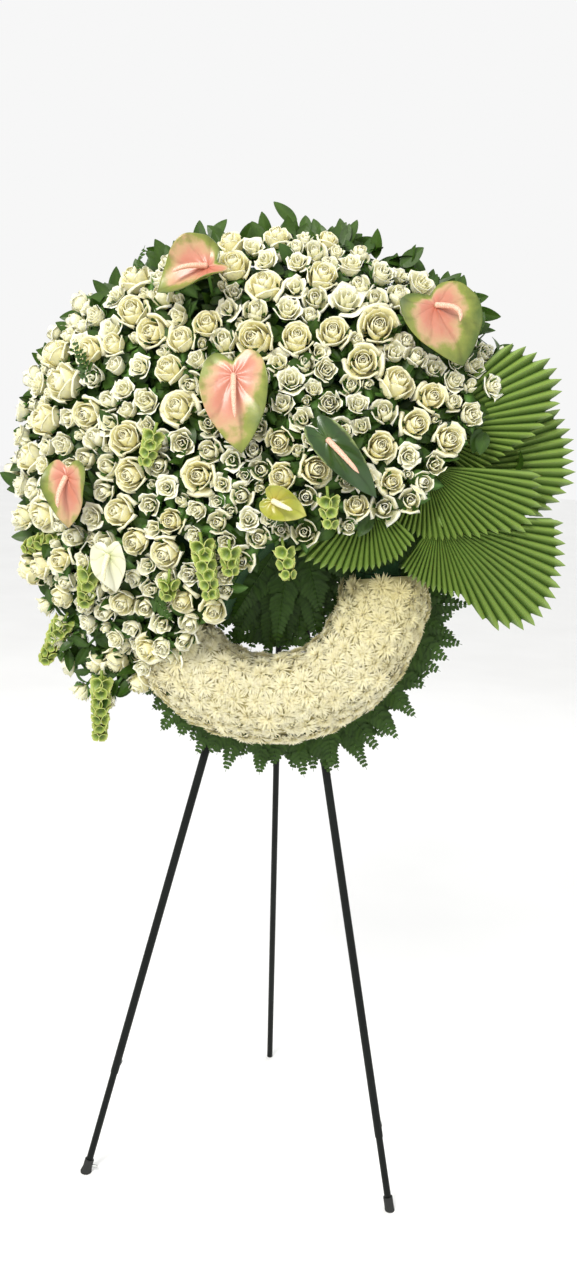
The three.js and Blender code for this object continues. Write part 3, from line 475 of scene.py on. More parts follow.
def mix_colour(tree, factor, first, second, mode="MIX"):
    node = tree.nodes.new("ShaderNodeMix")
    node.data_type = "RGBA"
    node.blend_type = mode
    feed(tree, (node.inputs[0], node.inputs[6], node.inputs[7]), (factor, first, second))
    return node.outputs[2]


def math_node(tree, operation, first, second):
    node = tree.nodes.new("ShaderNodeMath")
    node.operation = operation
    feed(tree, node.inputs, (first, second))
    return node.outputs[0]


def moody(tree, colour, amount, tint):
    """A colour tinted by its part's mood."""
    factor = math_node(tree, "MULTIPLY", attribute(tree, "mood"), amount)
    return mix_colour(tree, factor, colour, tint, "MULTIPLY")


def petal_material(name, inner, middle, outer, warm, rough=0.6):
    """Petals: greenish at the base, pale to the rim, each flower a little warmer or cooler."""
    material, tree = new_material(name)
    along = ramp(tree, attribute(tree, "shade"), [(0.0, inner), (0.45, middle), (1.0, outer)])
    freckle = ramp(tree, noise(tree, 90, 3), [(0.35, (0.93, 0.92, 0.88)), (0.65, (1, 1, 1))])
    colour = mix_colour(tree, 1.0, moody(tree, along, 0.55, warm), freckle, "MULTIPLY")
    surface(tree, colour, {"Roughness": rough, "Sheen Weight": 0.15, "Sheen Roughness": 0.5,
                           **under_skin(0.3, 0.006, (0.5, 0.45, 0.25))})
    bump(tree, noise(tree, 420, 3), 0.18, 0.0006)
    return material


def leaf_material(name, dark, light, rough):
    """Leaves: mottled between two greens, lighter along the midrib, with a fine leathery grain."""
    material, tree = new_material(name)
    mottled = ramp(tree, noise(tree, 35, 5), [(0.3, dark), (0.7, light)])
    lifted = mix_colour(tree, attribute(tree, "shade"), mottled, tuple(1.55 * c for c in light))
    surface(tree, moody(tree, lifted, 0.45, (0.75, 0.85, 0.45)),
            {"Roughness": rough, "Specular IOR Level": 0.3, **under_skin(0.04, 0.003, (0.3, 0.6, 0.1))})
    bump(tree, noise(tree, 260, 5), 0.3, 0.0008)
    return material


def spathe_material(name, stops, rough=0.34):
    """A waxy spathe: colour from its middle to its margin, with painted shade along the sunken veins."""
    material, tree = new_material(name)
    uneven = math_node(tree, "MULTIPLY", math_node(tree, "SUBTRACT", noise(tree, 38, 4), 0.5), 0.55)
    along = ramp(tree, math_node(tree, "ADD", attribute(tree, "shade"), uneven), stops)
    # Painted shade in the sunken veins, whose pattern comes in as the mood.
    vein_groove_shade = ramp(tree, attribute(tree, "mood"), [(0.0, (0.74, 0.72, 0.66)), (0.35, (1, 1, 1))])
    surface(tree, mix_colour(tree, 1.0, along, vein_groove_shade, "MULTIPLY"),
            {"Roughness": rough, "Coat Weight": 0.15, "Coat Roughness": 0.15,
             **under_skin(0.06, 0.004, (0.6, 0.3, 0.2))})
    bump(tree, noise(tree, 150, 4), 0.22, 0.0012)
    return material


def spadix_material(name, low, high):
    """A spadix packed with tiny florets, darker between them as painted shade."""
    material, tree = new_material(name)
    florets = texture(tree, "ShaderNodeTexVoronoi", Scale=620).outputs["Distance"]
    # Painted shade: the colour darkens between the florets, where the bump sinks them.
    surface(tree, ramp(tree, florets, [(0.15, high), (0.75, low)]), {"Roughness": 0.45})
    bump(tree, florets, -0.6, 0.0012)
    return material


def palm_material():
    """Palm leaf: mottled dark green, with painted light and shade across its folds: darkest in each valley,
    lightest on one side of each fold.
    """
    material, tree = new_material("palm_green")
    mottled = ramp(tree, noise(tree, 16, 4), [(0.3, (0.020, 0.052, 0.005)), (0.7, (0.046, 0.098, 0.011))])
    # Painted light and shade on the folds, carried by the shade attribute.
    painted_fold_light = mix_colour(tree, attribute(tree, "shade"), mottled, (0.25, 0.37, 0.075))
    surface(tree, painted_fold_light, {"Roughness": 0.38, **under_skin(0.03, 0.002)})
    bump(tree, noise(tree, 320, 4), 0.2, 0.0006)
    return material


def bell_material():
    """Calyx of the bells: pale at the lip, darker towards its base, with painted shade deep inside the cup
    and a net of fine veins.
    """
    material, tree = new_material("bells_green")
    cells = texture(tree, "ShaderNodeTexVoronoi", Scale=330)
    cells.feature = "DISTANCE_TO_EDGE"
    net = ramp(tree, cells.outputs["Distance"], [(0.02, (1, 1, 1)), (0.14, (0.8, 0.82, 0.7))])
    along = ramp(tree, attribute(tree, "shade"), [
        (0.0, (0.10, 0.17, 0.02)), (0.35, (0.25, 0.34, 0.05)), (0.8, (0.45, 0.52, 0.13)),
        (1.0, (0.70, 0.73, 0.32))])
    surface(tree, mix_colour(tree, 1.0, along, net, "MULTIPLY"), {"Roughness": 0.5, **under_skin(0.1, 0.003)})
    bump(tree, cells.outputs["Distance"], -0.3, 0.0006)
    return material


def plain_material(name, low, high, scale, rough, metal=0.0, shine=0.5, grain=(200, 0.2, 0.0006)):
    """A made material; grain is the scale, strength and depth of its roughness."""
    material, tree = new_material(name)
    surface(tree, ramp(tree, noise(tree, scale, 5), [(0.3, low), (0.7, high)]),
            {"Roughness": rough, "Metallic": metal, "Specular IOR Level": shine})
    bump(tree, noise(tree, grain[0], 6), *grain[1:])
    return material


def add_block_seams(material):
    """Darker seams where the bricks of floral foam meet, upright on the wreath's back."""
    tree = material.node_tree
    bricks = texture(tree, "ShaderNodeTexBrick", **{
        "Scale": 1.0, "Brick Width": FOAM_BRICK[0] * MM, "Row Height": FOAM_BRICK[1] * MM,
        "Mortar Size": 0.0012, "Mortar Smooth": 0.6})
    upright = tree.nodes.new("ShaderNodeMapping")
    upright.inputs["Rotation"].default_value = (math.pi / 2 - LEAN, 0, 0)
    tree.links.new(bricks.inputs["Vector"].links[0].from_socket, upright.inputs["Vector"])
    tree.links.new(upright.outputs["Vector"], bricks.inputs["Vector"])
    base = tree.nodes["Principled BSDF"].inputs["Base Color"]
    plain = base.links[0].from_socket
    tree.links.new(mix_colour(tree, bricks.outputs["Fac"], plain, (0.004, 0.016, 0.006)), base)
    return material


ROSE_PETAL = petal_material("rose_petal", (0.66, 0.60, 0.22), (0.93, 0.88, 0.53), (0.95, 0.93, 0.70),
                            (1.0, 0.97, 0.86))
LISIANTHUS_PETAL = petal_material("lisianthus_petal", (0.50, 0.52, 0.16), (0.89, 0.87, 0.60),
                                  (0.94, 0.93, 0.78), (1.0, 0.98, 0.88))
MUM_PETAL = petal_material("mum_petal", (0.42, 0.36, 0.12), (0.78, 0.72, 0.42), (0.88, 0.84, 0.60),
                           (1.0, 0.96, 0.84), 0.65)
STEM_GREEN = leaf_material("stem_green", (0.030, 0.085, 0.012), (0.075, 0.16, 0.030), 0.5)
FERN_GREEN = leaf_material("fern_green", (0.011, 0.030, 0.002), (0.030, 0.072, 0.006), 0.55)
RUSCUS_GREEN = leaf_material("ruscus_green", (0.016, 0.040, 0.004), (0.040, 0.085, 0.009), 0.4)
ROSE_LEAF = leaf_material("rose_leaf", (0.013, 0.034, 0.004), (0.032, 0.072, 0.008), 0.45)


# ---- camera, lights and floor

CAMERA = {"distance": 2.0, "aside": 0.0225, "back": 0.02785, "height": 1.384,
          "yaw": 6.50, "pitch": 12.23, "roll": 2.88, "sensor": 36, "lens": 33.075}
LIGHTS = {
    "key_light": ((-0.9, -2.3, 3.1), (0, 0, 1.2), 1.2, 80, (1, 0.98, 0.93)),
    "fill_light": ((2.2, -2.4, 1.6), (0, 0, 1.1), 2.4, 8, (0.95, 0.98, 1)),
    "back_light": ((0.8, 2.6, 2.6), (0, 0, 1.2), 2.0, 20, (1, 1, 1)),
}
SKY = 0.93
FLOOR_HALF = 15


def add_camera():
    """The photographer stood to the front right, at the height of the mound, and looked down."""
    yaw, pitch, roll = (math.radians(CAMERA[key]) for key in ("yaw", "pitch", "roll"))
    level, ahead = ray(yaw), ray(yaw + math.pi / 2)
    place = np.array([ORIGIN[0], ORIGIN[1] + CAMERA["back"], CAMERA["height"]])
    place = place + level * CAMERA["aside"] - ahead * CAMERA["distance"]
    forward = ahead * math.cos(pitch) - np.array([0, 0, math.sin(pitch)])
    upright = np.cross(level, forward)
    right = level * math.cos(roll) + upright * math.sin(roll)
    up = upright * math.cos(roll) - level * math.sin(roll)
    data = bpy.data.cameras.new("camera")
    data.sensor_width = CAMERA["sensor"]
    data.lens = CAMERA["lens"]
    camera = bpy.data.objects.new("camera", data)
    basis = Matrix([right, up, -forward]).transposed().to_4x4()
    camera.matrix_world = Matrix.Translation(Vector(place)) @ basis
    bpy.context.scene.collection.objects.link(camera)
    bpy.context.scene.camera = camera


def add_studio():
    for name, (place, target, size, power, colour) in LIGHTS.items():
        data = bpy.data.lights.new(name, "AREA")
        data.shape = "DISK"
        data.size = size
        data.energy = power
        data.color = colour
        light = bpy.data.objects.new(name, data)
        light.location = place
        light.rotation_euler = (Vector(target) - Vector(place)).to_track_quat("-Z", "Y").to_euler()
        bpy.context.scene.collection.objects.link(light)
    world = bpy.data.worlds.new("studio")
    world.use_nodes = True
    feed(world.node_tree, world.node_tree.nodes["Background"].inputs, ((1, 1, 1), SKY))
    bpy.context.scene.world = world
    bpy.context.scene.view_settings.view_transform = "Standard"
    material, tree = new_material("studio_floor")
    paint = ramp(tree, noise(tree, 2.5, 2), [(0.3, (0.91, 0.91, 0.90)), (0.7, (0.94, 0.94, 0.93))])
    surface(tree, paint, {"Roughness": 0.7})
    corners = [(x * FLOOR_HALF, y * FLOOR_HALF, 0) for x, y in ((-1, -1), (1, -1), (1, 1), (-1, 1))]
    mesh = bpy.data.meshes.new("studio_floor")
    mesh.from_pydata(corners, [], [(0, 1, 2, 3)])
    mesh.materials.append(material)
    ground = bpy.data.objects.new("studio_floor", mesh)
    bpy.context.scene.collection.objects.link(ground)


# ---- where the blooms stand

FILLERS = (
    {"radius": (18, 23), "close": 0.80, "deep": 7, "tries": 5000},
    {"radius": (14, 18), "close": 0.82, "deep": 12, "tries": 7000},
    {"radius": (10, 13), "close": 0.86, "deep": 14, "tries": 5000},
)
SPREAD_STEPS = 160
BARE_EDGE = [(600, 300), (600, 700), (-600, 700), (-600, -600), (-190, -190), (-95, -60),
             (-72, -62), (-40, 15), (10, 72), (120, 92), (215, 140), (285, 250)]


def shrunk(by):
    """The mound, less a depth all round."""
    return {**MOUND, "along": MOUND["along"] - by, "up": MOUND["up"] - by, "out": MOUND["out"] - by}


def reach_of(mound, u, v):
    """How far out a place is, along the mound's half width and up its half height."""
    return (u - mound["u"]) / mound["along"], (v - mound["v"]) / mound["up"]


def seat(u, v):
    """A bloom's centre and the way it faces."""
    across, rise = reach_of(MOUND, u, v)
    out = math.sqrt(max(0.0, 1 - across * across - rise * rise))
    facing = np.array([across / MOUND["along"], rise / MOUND["up"], out / MOUND["out"]])
    return np.array([u, v, max(MOUND["n"] + MOUND["out"] * out, MOUND["rim"])]), unit(facing)


def stem_end(at, facing):
    """Where a bloom's stem reaches the bed of foliage."""
    depth = BED["under"] + BED["stems"]
    bed = shrunk(depth)
    end = at - facing * depth
    across, rise = reach_of(bed, end[0], end[1])
    ratio = math.hypot(across, rise)
    if ratio >= BED["most"]:
        end = np.array([bed["u"] + across * bed["along"] * BED["most"] / ratio,
                        bed["v"] + rise * bed["up"] * BED["most"] / ratio, MOUND["rim"]])
    return end


def obstacles():
    """Places the blooms keep clear of, with their radii: the spathes and the spikes of bells."""
    fixed = [(seat(spec["u"], spec["v"])[0], min(spec["size"]) * 0.22) for spec in ANTHURIUMS.values()]
    for start, stop in BELLS.values():
        start, stop = np.array(start), np.array(stop)
        fixed += [(start + (stop - start) * share, BELL_CLEARANCE) for share in (0.1, 0.5, 0.9)]
    return fixed


def spread(blooms, fixed):
    """Blooms pushed apart in u and v until none touches another, as in the solids."""
    for _ in range(SPREAD_STEPS):
        for i, bloom in enumerate(blooms):
            bloom["at"] = seat(bloom["u"], bloom["v"])[0]
            others = [(other["at"], other["radius"], other) for other in blooms[:i]]
            for place, radius, other in others + [(at, radius, None) for at, radius in fixed]:
                short = bloom["radius"] + radius + 1 - math.dist(bloom["at"], place)
                if short <= 0:
                    continue
                away = (bloom["u"] - place[0], bloom["v"] - place[1])
                flat = math.hypot(*away) or 1
                for key, part in zip("uv", away):
                    push = part / flat * short * (0.5 if other else 1)
                    bloom[key] += push
                    if other:
                        other[key] -= push
    for bloom in blooms:
        bloom["at"], bloom["facing"] = seat(bloom["u"], bloom["v"])
    return blooms


def cluster_of(at, facing):
    """The cluster of blooms in the solids that a place of the mound belongs to."""
    end = stem_end(at, facing)
    across, rise = reach_of(shrunk(BED["under"]), end[0], end[1])
    angle = math.degrees(math.atan2(rise, across)) % 360
    clusters = HEART_CLUSTERS if math.hypot(across, rise) < HEART_REACH else RIM_CLUSTERS
    for name, (low, high) in clusters.items():
        if low <= angle < high:
            return name
    return "blooms_right"


def in_reach(u, v):
    """True where the mound's foam and foliage are: left of and above the hole and the palms."""
    inside = False
    for (x0, y0), (x1, y1) in zip(BARE_EDGE, BARE_EDGE[1:] + BARE_EDGE[:1]):
        if (y0 > v) != (y1 > v) and u < x0 + (v - y0) * (x1 - x0) / (y1 - y0):
            inside = not inside
    return inside


def chance_place(rng, most=1.0):
    """A random place of the mound's outline, and how far out it is from 0 to most."""
    angle = rng.random() * math.tau
    ratio = math.sqrt(rng.random()) * most
    u = MOUND["u"] + MOUND["along"] * ratio * math.cos(angle)
    v = MOUND["v"] + MOUND["up"] * ratio * math.sin(angle)
    return u, v, ratio


def hanging_head(u, v, size):
    """One head of the cascade at the lower left, which faces the front more than the rim's heads."""
    at, facing = seat(u, v)
    return {"at": at + FRONT * 12, "facing": unit(facing + np.array([-0.1, -0.15, 0.7])),
            "radius": size / 2, "kind": "rose" if size > 41 else "lisianthus"}


def fillers(blooms, fixed):
    """Lisianthus and buds that close the gaps between the main blooms, a little deeper."""
    rng = random.Random(11)
    found = []
    for spec in FILLERS:
        for _ in range(spec["tries"]):
            u, v, ratio = chance_place(rng, 1.03)
            radius = rng.uniform(*spec["radius"])
            over_rim = ratio > 0.91 and u > -330
            over_palms = u > 290 and v < 320
            if over_rim or over_palms or not in_reach(u * 0.97, v * 0.97 + 5):
                continue
            at, facing = seat(u, v)
            near = any(math.dist(at, other["at"]) < (radius + other["radius"]) * spec["close"]
                       for other in blooms + found)
            if near or any(math.dist(at, place) < radius + size for place, size in fixed):
                continue
            at = at - facing * rng.uniform(2, spec["deep"])
            found.append({"at": at, "facing": facing, "radius": radius, "kind": "small"})
    return found


# ---- roses and lisianthus

def petal(rho, z, theta, shade):
    """A petal's points and shades, from how far out, how high and how far round it is."""
    return round_grid(rho, theta, z), np.clip(shade, 0, 1) + 0 * theta


def opening(t, until):
    """How wide a petal is along its length: narrow at the base, full from a place on."""
    return 0.35 + 0.65 * np.sin(np.pi / 2 * np.minimum(1, t / until))


def rose_head(rng, petals, open_by, rows=6, columns=6):
    """A rose of radius 1 facing +Z: a wound heart inside broad petals that roll back at the rim."""
    parts = []
    t = (np.linspace(0.05, 1, rows) ** 0.75)[:, None]
    s = np.linspace(-1, 1, columns)[None, :]
    edge = np.abs(s)
    lay = [0, 0.4, 0.62, 0.82, 1.0]
    for k in range(petals):
        f = k / (petals - 1)
        turn = k * GOLDEN + rng.gauss(0, 0.15)
        belly = np.interp(f, lay, [0.05, 0.30, 0.45, 0.60, 0.70]) + rng.gauss(0, 0.01)
        lip = np.interp(f, lay, [0.02, 0.22, 0.46, 0.80, 1.04])
        lip = belly + (lip - belly) * (open_by if lip > belly else 1)
        top = np.interp(f, lay, [0.52, 0.58, 0.50, 0.32, 0.08]) + rng.gauss(0, 0.03)
        top = top + (1 - open_by) * 0.3 * f
        half = np.interp(f, lay, [1.7, 1.25, 1.0, 0.86, 0.80]) + rng.gauss(0, 0.05)
        roll = max(0.0, f - 0.5) * 0.34 * open_by
        rho = through([0.05, belly * 0.8, belly, belly * 0.45 + lip * 0.55, lip], t)
        z = through([-0.6, -0.5 + 0.1 * f, -0.12 - 0.1 * f, top - 0.1 + roll * 0.5, top - roll], t)
        z = z - t ** 2 * (0.10 + 0.26 * f) * edge ** 2.2 * (0.4 + 0.6 * f)
        rho = rho + t ** 3 * f * open_by * (0.10 * edge ** 2 - 0.05)
        rho = rho + 0.022 * np.sin(2.1 * math.pi * s + turn * 3) * t * t * (0.4 + f)
        theta = turn + s * half * opening(t, 0.65) * (1 - 0.14 * t ** 3)
        parts.append(petal(rho, z, theta, 0.12 + 0.88 * t ** 1.2 - 0.22 * (1 - f) ** 1.5))
    return parts


def lisianthus_head(rng, petals, open_by, rows=5, columns=7):
    """A double lisianthus of radius 1 facing +Z: a loose cup of soft ruffled petals."""
    parts = []
    t = (np.linspace(0.04, 1, rows) ** 0.8)[:, None]
    s = np.linspace(-1, 1, columns)[None, :]
    for k in range(petals):
        f = k / (petals - 1)
        turn = k * GOLDEN + rng.gauss(0, 0.2)
        belly = 0.09 + 0.53 * f
        lip = 0.03 + (0.47 + 0.48 * open_by) * f
        top = 0.5 - 0.36 * f * open_by + rng.gauss(0, 0.05)
        rho = through([0.05, belly * 0.7, belly, belly * 0.4 + lip * 0.6, lip], t)
        z = through([-0.6, -0.45, -0.1, top - 0.12, top - 0.12 * f * open_by], t)
        ruffle = t ** 2.5 * 0.055 * np.sin(1.7 * math.pi * s + rng.random() * 6)
        rho = rho + ruffle * (0.6 + f)
        z = z + ruffle * 1.1 - t ** 2 * 0.09 * np.abs(s) ** 3
        theta = turn + s * (1.3 - 0.3 * f) * opening(t, 0.8)
        parts.append(petal(rho, z, theta, 0.1 + 0.9 * t ** 0.8 - 0.2 * (1 - f)))
    return parts


def head_of(kind, radius, rng):
    """The petals of a bloom; a small one is a bud, a half-open rose or a lisianthus."""
    if kind == "rose":
        return rose_head(rng, 19 if radius > 24 else 16, rng.uniform(0.45, 1.1))
    if kind == "lisianthus":
        return lisianthus_head(rng, 11, rng.uniform(0.4, 1.0))
    if radius < 14:
        return rose_head(rng, 7, 0.1, 4, 5)
    if rng.random() < 0.55:
        return rose_head(rng, 11, rng.uniform(0.4, 0.8), 5, 5)
    return lisianthus_head(rng, 8, rng.uniform(0.3, 0.9), 4, 6)


SEPAL = ((0.16, -0.64), (0.5, -0.55), (0.74, -0.36), (0.86, -0.1))


def add_calyx(piece, at, facing, radius, rng, end):
    """The green cup under a bloom, with its pointed sepals, and the stem down to the bed."""
    axis = unit(at - end)
    neck = at - axis * radius * 0.62
    path = [end, (end + neck) / 2, neck, at - axis * radius * 0.35]
    piece.add(*sweep(path, [2.2, 2.2, 2.6, radius * 0.3], 6), 0.2, rng.random())
    for k in range(5):
        away = ray(k * math.tau / 5 + rng.random())
        path = [away * out + FRONT * rise for out, rise in SEPAL]
        points, faces, tone = strip_leaf(path, 0.42, 0.03, away * 0.5 - FRONT)
        piece.add(placed(points, at, facing, 0, radius), faces, tone, rng.random())


def add_stem_leaves(piece, at, facing, radius, rng):
    """Two or three leaves of the bloom's own stem, just under its head."""
    for _ in range(rng.choice((2, 3))):
        away = unit(square_to(ray(rng.random() * math.tau), facing))
        start = at - facing * radius * rng.uniform(0.7, 1.3)
        size = rng.uniform(26, 40)
        reach = away * size - facing * rng.uniform(-6, 12)
        tilt = facing + away * rng.uniform(-0.3, 0.3)
        add_leaf(piece, rng, start, reach, facing * rng.uniform(1, 6), tilt, size * 0.52)


def add_blooms():
    """Roses, lisianthus and their stems, one piece of each for every cluster of the solids."""
    fixed = obstacles()
    blooms = spread([{"u": u, "v": v, "radius": size / 2, "kind": kind}
                     for kind, table in (("rose", ROSES), ("lisianthus", LISIANTHUS))
                     for u, v, size in table], fixed)
    cascade = [head for head in (hanging_head(*entry) for entry in CASCADE) if all(
        math.dist(head["at"], other["at"]) > (head["radius"] + other["radius"]) * CASCADE_CLOSE
        for other in blooms)]
    blooms += cascade
    rng = random.Random(3)
    pieces = {}
    for bloom in blooms + fillers(blooms, fixed):
        at, radius, kind = bloom["at"], bloom["radius"], bloom["kind"]
        cluster = cluster_of(at, bloom["facing"])
        flowers = pieces.setdefault((cluster, "roses" if kind == "rose" else "lisianthus"), Piece())
        stems = pieces.setdefault((cluster, "stems"), Piece())
        facing = unit(bloom["facing"] + scatter(rng, 0.16, 0.16, 0))
        turn = rng.random() * math.tau
        mood = rng.random()
        size = radius * PETALS_PAST[kind]
        for grid, shade in head_of(kind, radius, rng):
            points, faces, tone = leaf_solid(grid, PETAL_THICK / size, shade)
            flowers.add(placed(points, at, facing, turn, size), faces, tone, mood)
        add_stem_leaves(stems, at, facing, radius, rng)
        add_calyx(stems, at, facing, radius, rng, stem_end(at, bloom["facing"]))
    materials = {"roses": ROSE_PETAL, "lisianthus": LISIANTHUS_PETAL, "stems": STEM_GREEN}
    for (cluster, kind), piece in pieces.items():
        piece.make(cluster.replace("blooms", kind), materials[kind], "ivory_petals", [cluster])


# ---- chrysanthemums

MUM_WHORLS = [(20, 80, 1.0, 0.05), (22, 62, 0.96, 0.3), (21, 44, 0.88, 0.1), (18, 27, 0.8, 0.4),
              (13, 13, 0.72, 0.2), (7, 4, 0.68, 0.0)]
MUM_ROWS = 13
MUM_GAP = 29
SPINDLE = np.array([[0, 1, 2], [0, 2, 3], [0, 3, 1], [4, 2, 1], [4, 3, 2], [4, 1, 3]])


def mum_head(rng):
    """A chrysanthemum of radius 1 facing +Z: narrow petals in whorls, closed over a tight eye."""
    petals = []
    t = np.array([0.0, 0.6, 1.0])
    for count, tilt, length, start in MUM_WHORLS:
        for k in range(count):
            turn = start + math.tau * (k + rng.uniform(-0.5, 0.5)) / count
            lean = math.radians(tilt + rng.gauss(0, 10))
            reach = length * rng.uniform(0.84, 1.1)
            curl = lean + np.array([-0.55, -0.12, 0.16]) * (0.4 + lean / 1.6)
            out = 0.04 * lean + reach * t * np.sin(np.maximum(curl, 0.02))
            up = reach * t * np.cos(curl) * 0.5 - 0.1
            base, middle, tip = out[:, None] * ray(turn) + up[:, None] * FRONT
            edge = ray(turn + math.pi / 2) * rng.uniform(0.055, 0.08)
            petals.append([base, middle - edge, middle + edge, middle - FRONT * 0.05, tip])
    faces = np.concatenate([SPINDLE + 5 * i for i in range(len(petals))])
    return np.concatenate(petals), [faces], np.tile([0.1, 0.7, 0.7, 0.45, 1.0], len(petals))


def crescent_point(turn, across):
    """A point of the crescent's rounded face and the way out of it; across runs round its section."""
    c, s = math.cos(across), math.sin(across)
    high = MUMS["half"] - 5
    point = ray(turn) * (RING["middle"] + MUMS["half"] * c) + FRONT * (MUMS["middle"] + high * s)
    return point, unit(ray(turn) * c / MUMS["half"] + FRONT * s / high)


def add_mums():
    """The crescent of chrysanthemums: rows of heads over a bed, on their own stems."""
    rng = random.Random(21)
    variants = [mum_head(rng) for _ in range(7)]
    thirds = [Piece(), Piece(), Piece()]
    calyxes = Piece()
    start = math.asin((MUMS["low"] - MUMS["middle"]) / MUMS["half"])
    first, last = (math.radians(value) for value in MUMS["turn"])
    for row in range(MUM_ROWS):
        across = start + 0.1 + (math.pi - 2 * start - 0.2) * row / (MUM_ROWS - 1)
        radius = RING["middle"] + MUMS["half"] * math.cos(across)
        margin = 13 / radius
        span = last - first - 2 * margin
        count = max(3, round(span * radius / MUM_GAP))
        for k in range(count + 1):
            share = (k + 0.5 * (row % 2)) / count
            if share > 1:
                continue
            turn = first + margin + span * share + rng.gauss(0, 2.5) / radius
            point, normal = crescent_point(turn, across + rng.gauss(0, 0.03))
            facing = normal + scatter(rng, 0.14, 0.14, 0.06)
            size = rng.uniform(21, 24.5)
            points, faces, shade = variants[rng.randrange(len(variants))]
            # Painted shade: heads darker towards both ends of the crescent, the palms' shadow at its right
            # end.
            painted_light_share = min(1, max(0, (last - turn) / 0.75)) * min(1, 0.4 + (turn - first) / 0.5)
            at = point - normal * (8 + rng.uniform(0, 5))
            third = thirds[sum(turn > math.radians(edge) for edge in MUMS["thirds"])]
            third.add(placed(points, at, facing, rng.random() * 6.3, size), faces,
                      shade * (0.3 + 0.7 * painted_light_share), rng.random())
            path = [at - normal * depth for depth in (26, 12, 6, 3)]
            calyxes.add(*sweep(path, [1.6, 1.8, 5.5, 7.5], 6), 0.25, rng.random())
    # The bed under the heads: packed lower petals, tan partly in the petal bases' own colour and partly as
    # painted shade beneath the heads.
    across, turn = np.meshgrid(np.linspace(start, math.pi - start, 15), np.linspace(first, last, 49))
    section = MUMS["half"] - MUMS["bed_under"]
    rho = RING["middle"] + section * np.cos(across)
    grid = round_grid(rho, turn, MUMS["middle"] + section * np.sin(across))
    slot, nodes = "white_chrysanthemum", ["chrysanthemum_crescent"]
    one_piece("chrysanthemum_bed", MUM_PETAL, slot, nodes, leaf_solid(grid, 3, 0.2 + 0 * across))
    for place, third in zip(("left", "low", "right"), thirds):
        third.make("chrysanthemums_" + place, MUM_PETAL, slot, nodes, smooth=False)
    calyxes.make("chrysanthemum_stems", STEM_GREEN, slot, nodes)


# ---- anthuriums

HEART = [(0, 0.34), (0.2, 0.47), (0.4, 0.38), (0.5, 0.12), (0.4, -0.18), (0.2, -0.42), (0, -0.56)]
SPATHE_ROWS = np.array([0.05, 0.14, 0.25, 0.37, 0.49, 0.6, 0.7, 0.79, 0.87, 0.93, 0.97, 1.0])


def heart_rim(steps):
    """Points of the heart's rim, from the notch round the left lobe, the tip and the right lobe."""
    half = np.array(HEART)
    outline = np.concatenate([half, half[-2:0:-1] * [-1, 1], half[:1]])
    fine = np.linspace(0, len(outline) - 1, steps, endpoint=False)
    rough = np.stack([np.interp(fine, np.arange(len(outline)), side) for side in outline.T], axis=1)
    for _ in range(steps // 14):
        smooth = (np.roll(rough, 1, axis=0) + rough * 2 + np.roll(rough, -1, axis=0)) / 4
        notch, tip = (np.exp(-(((rough - corner) ** 2).sum(axis=1)) / round_it)
                      for corner, round_it in ((half[0], 0.002), (half[-1], 0.003)))
        keep = np.maximum(notch, tip)[:, None]
        rough = rough * keep + smooth * (1 - keep)
    return rough


def add_anthurium(name, slot, wax, florets, u, v, over, size, turn, roll, blush, curl=0.0, bent=0.0):
    """A spathe with puckered veins and a wavy rim, its stem and its spadix."""
    rng = random.Random(name)
    wide, tall = size
    at, facing = seat(u, v)
    base = at + facing * over
    turn = math.radians(turn)
    notch = np.array([0, 0.2])
    flat = notch + (heart_rim(72) - notch) * SPATHE_ROWS[:, None, None]
    x, y = flat[..., 0] * wide, flat[..., 1] * tall
    angle = np.arctan2(flat[..., 0], notch[1] - flat[..., 1])
    share = SPATHE_ROWS[:, None] + 0 * x
    veins = np.abs(np.sin(angle * 4.5 + 0.3 * np.sin(share * 7)))
    z = roll * x * x / wide * 1.6 - y * y / tall * 0.25
    z = z + (veins - 0.5) * 1.7 * np.sin(math.pi * share ** 0.8)
    z = z + 2.2 * np.sin(angle * 5 + rng.random() * 6) * share ** 4
    z = z + curl * np.clip(share - 0.72, 0, 1) ** 2 * wide
    tone = np.clip(share * blush + 0.18 * np.sin(angle * 2 + rng.random() * 6) * share, 0, 1)
    points, faces, shade = disc_solid(np.stack([x, y, z], axis=-1), 1.3, tone)
    # The veins go in as the mood, which the spathe's material darkens as painted shade in the grooves.
    mood = np.concatenate([np.tile(veins.reshape(-1), 2), [1, 1]])
    one_piece(name + "_spathe", wax, slot, [name], (placed(points, base, facing, turn), faces, shade, mood))
    top = placed([[0, 0.2 * tall, 0.6]], base, facing, turn)[0]
    root = stem_end(at, facing) - facing * 30
    bend = (root + top) / 2 + np.array([3, -4, 0])
    t = np.linspace(0, 1, 9)[:, None]
    stem = sweep(root * (1 - t) ** 2 + bend * 2 * t * (1 - t) + top * t * t, 2.4)
    one_piece(name + "_stem", STEM_GREEN, slot, [name], (*stem, 0.5, 0.3))
    t = np.linspace(0, 1, 22)
    spine = np.stack([
        bent * 14 * np.sin(t * 2.6), 0.2 * tall - tall * 0.46 * t * (1 - 0.25 * abs(bent)),
        1 + 20 * np.sin(np.pi * 0.62 * t) * (1 + 0.3 * abs(bent)),
    ], axis=-1)
    girth = 4.4 * (1 - 0.45 * t ** 2) * np.minimum(1, 6 * (1 - t) + 0.25)
    girth = girth * (1 + 0.05 * np.sin(np.arange(len(t)) * 2.4))
    spadix = sweep(placed(spine, base, facing, turn), girth, 12)
    one_piece(name + "_spadix", florets, slot, [name], (*spadix, np.repeat(t, 12), 0.5))


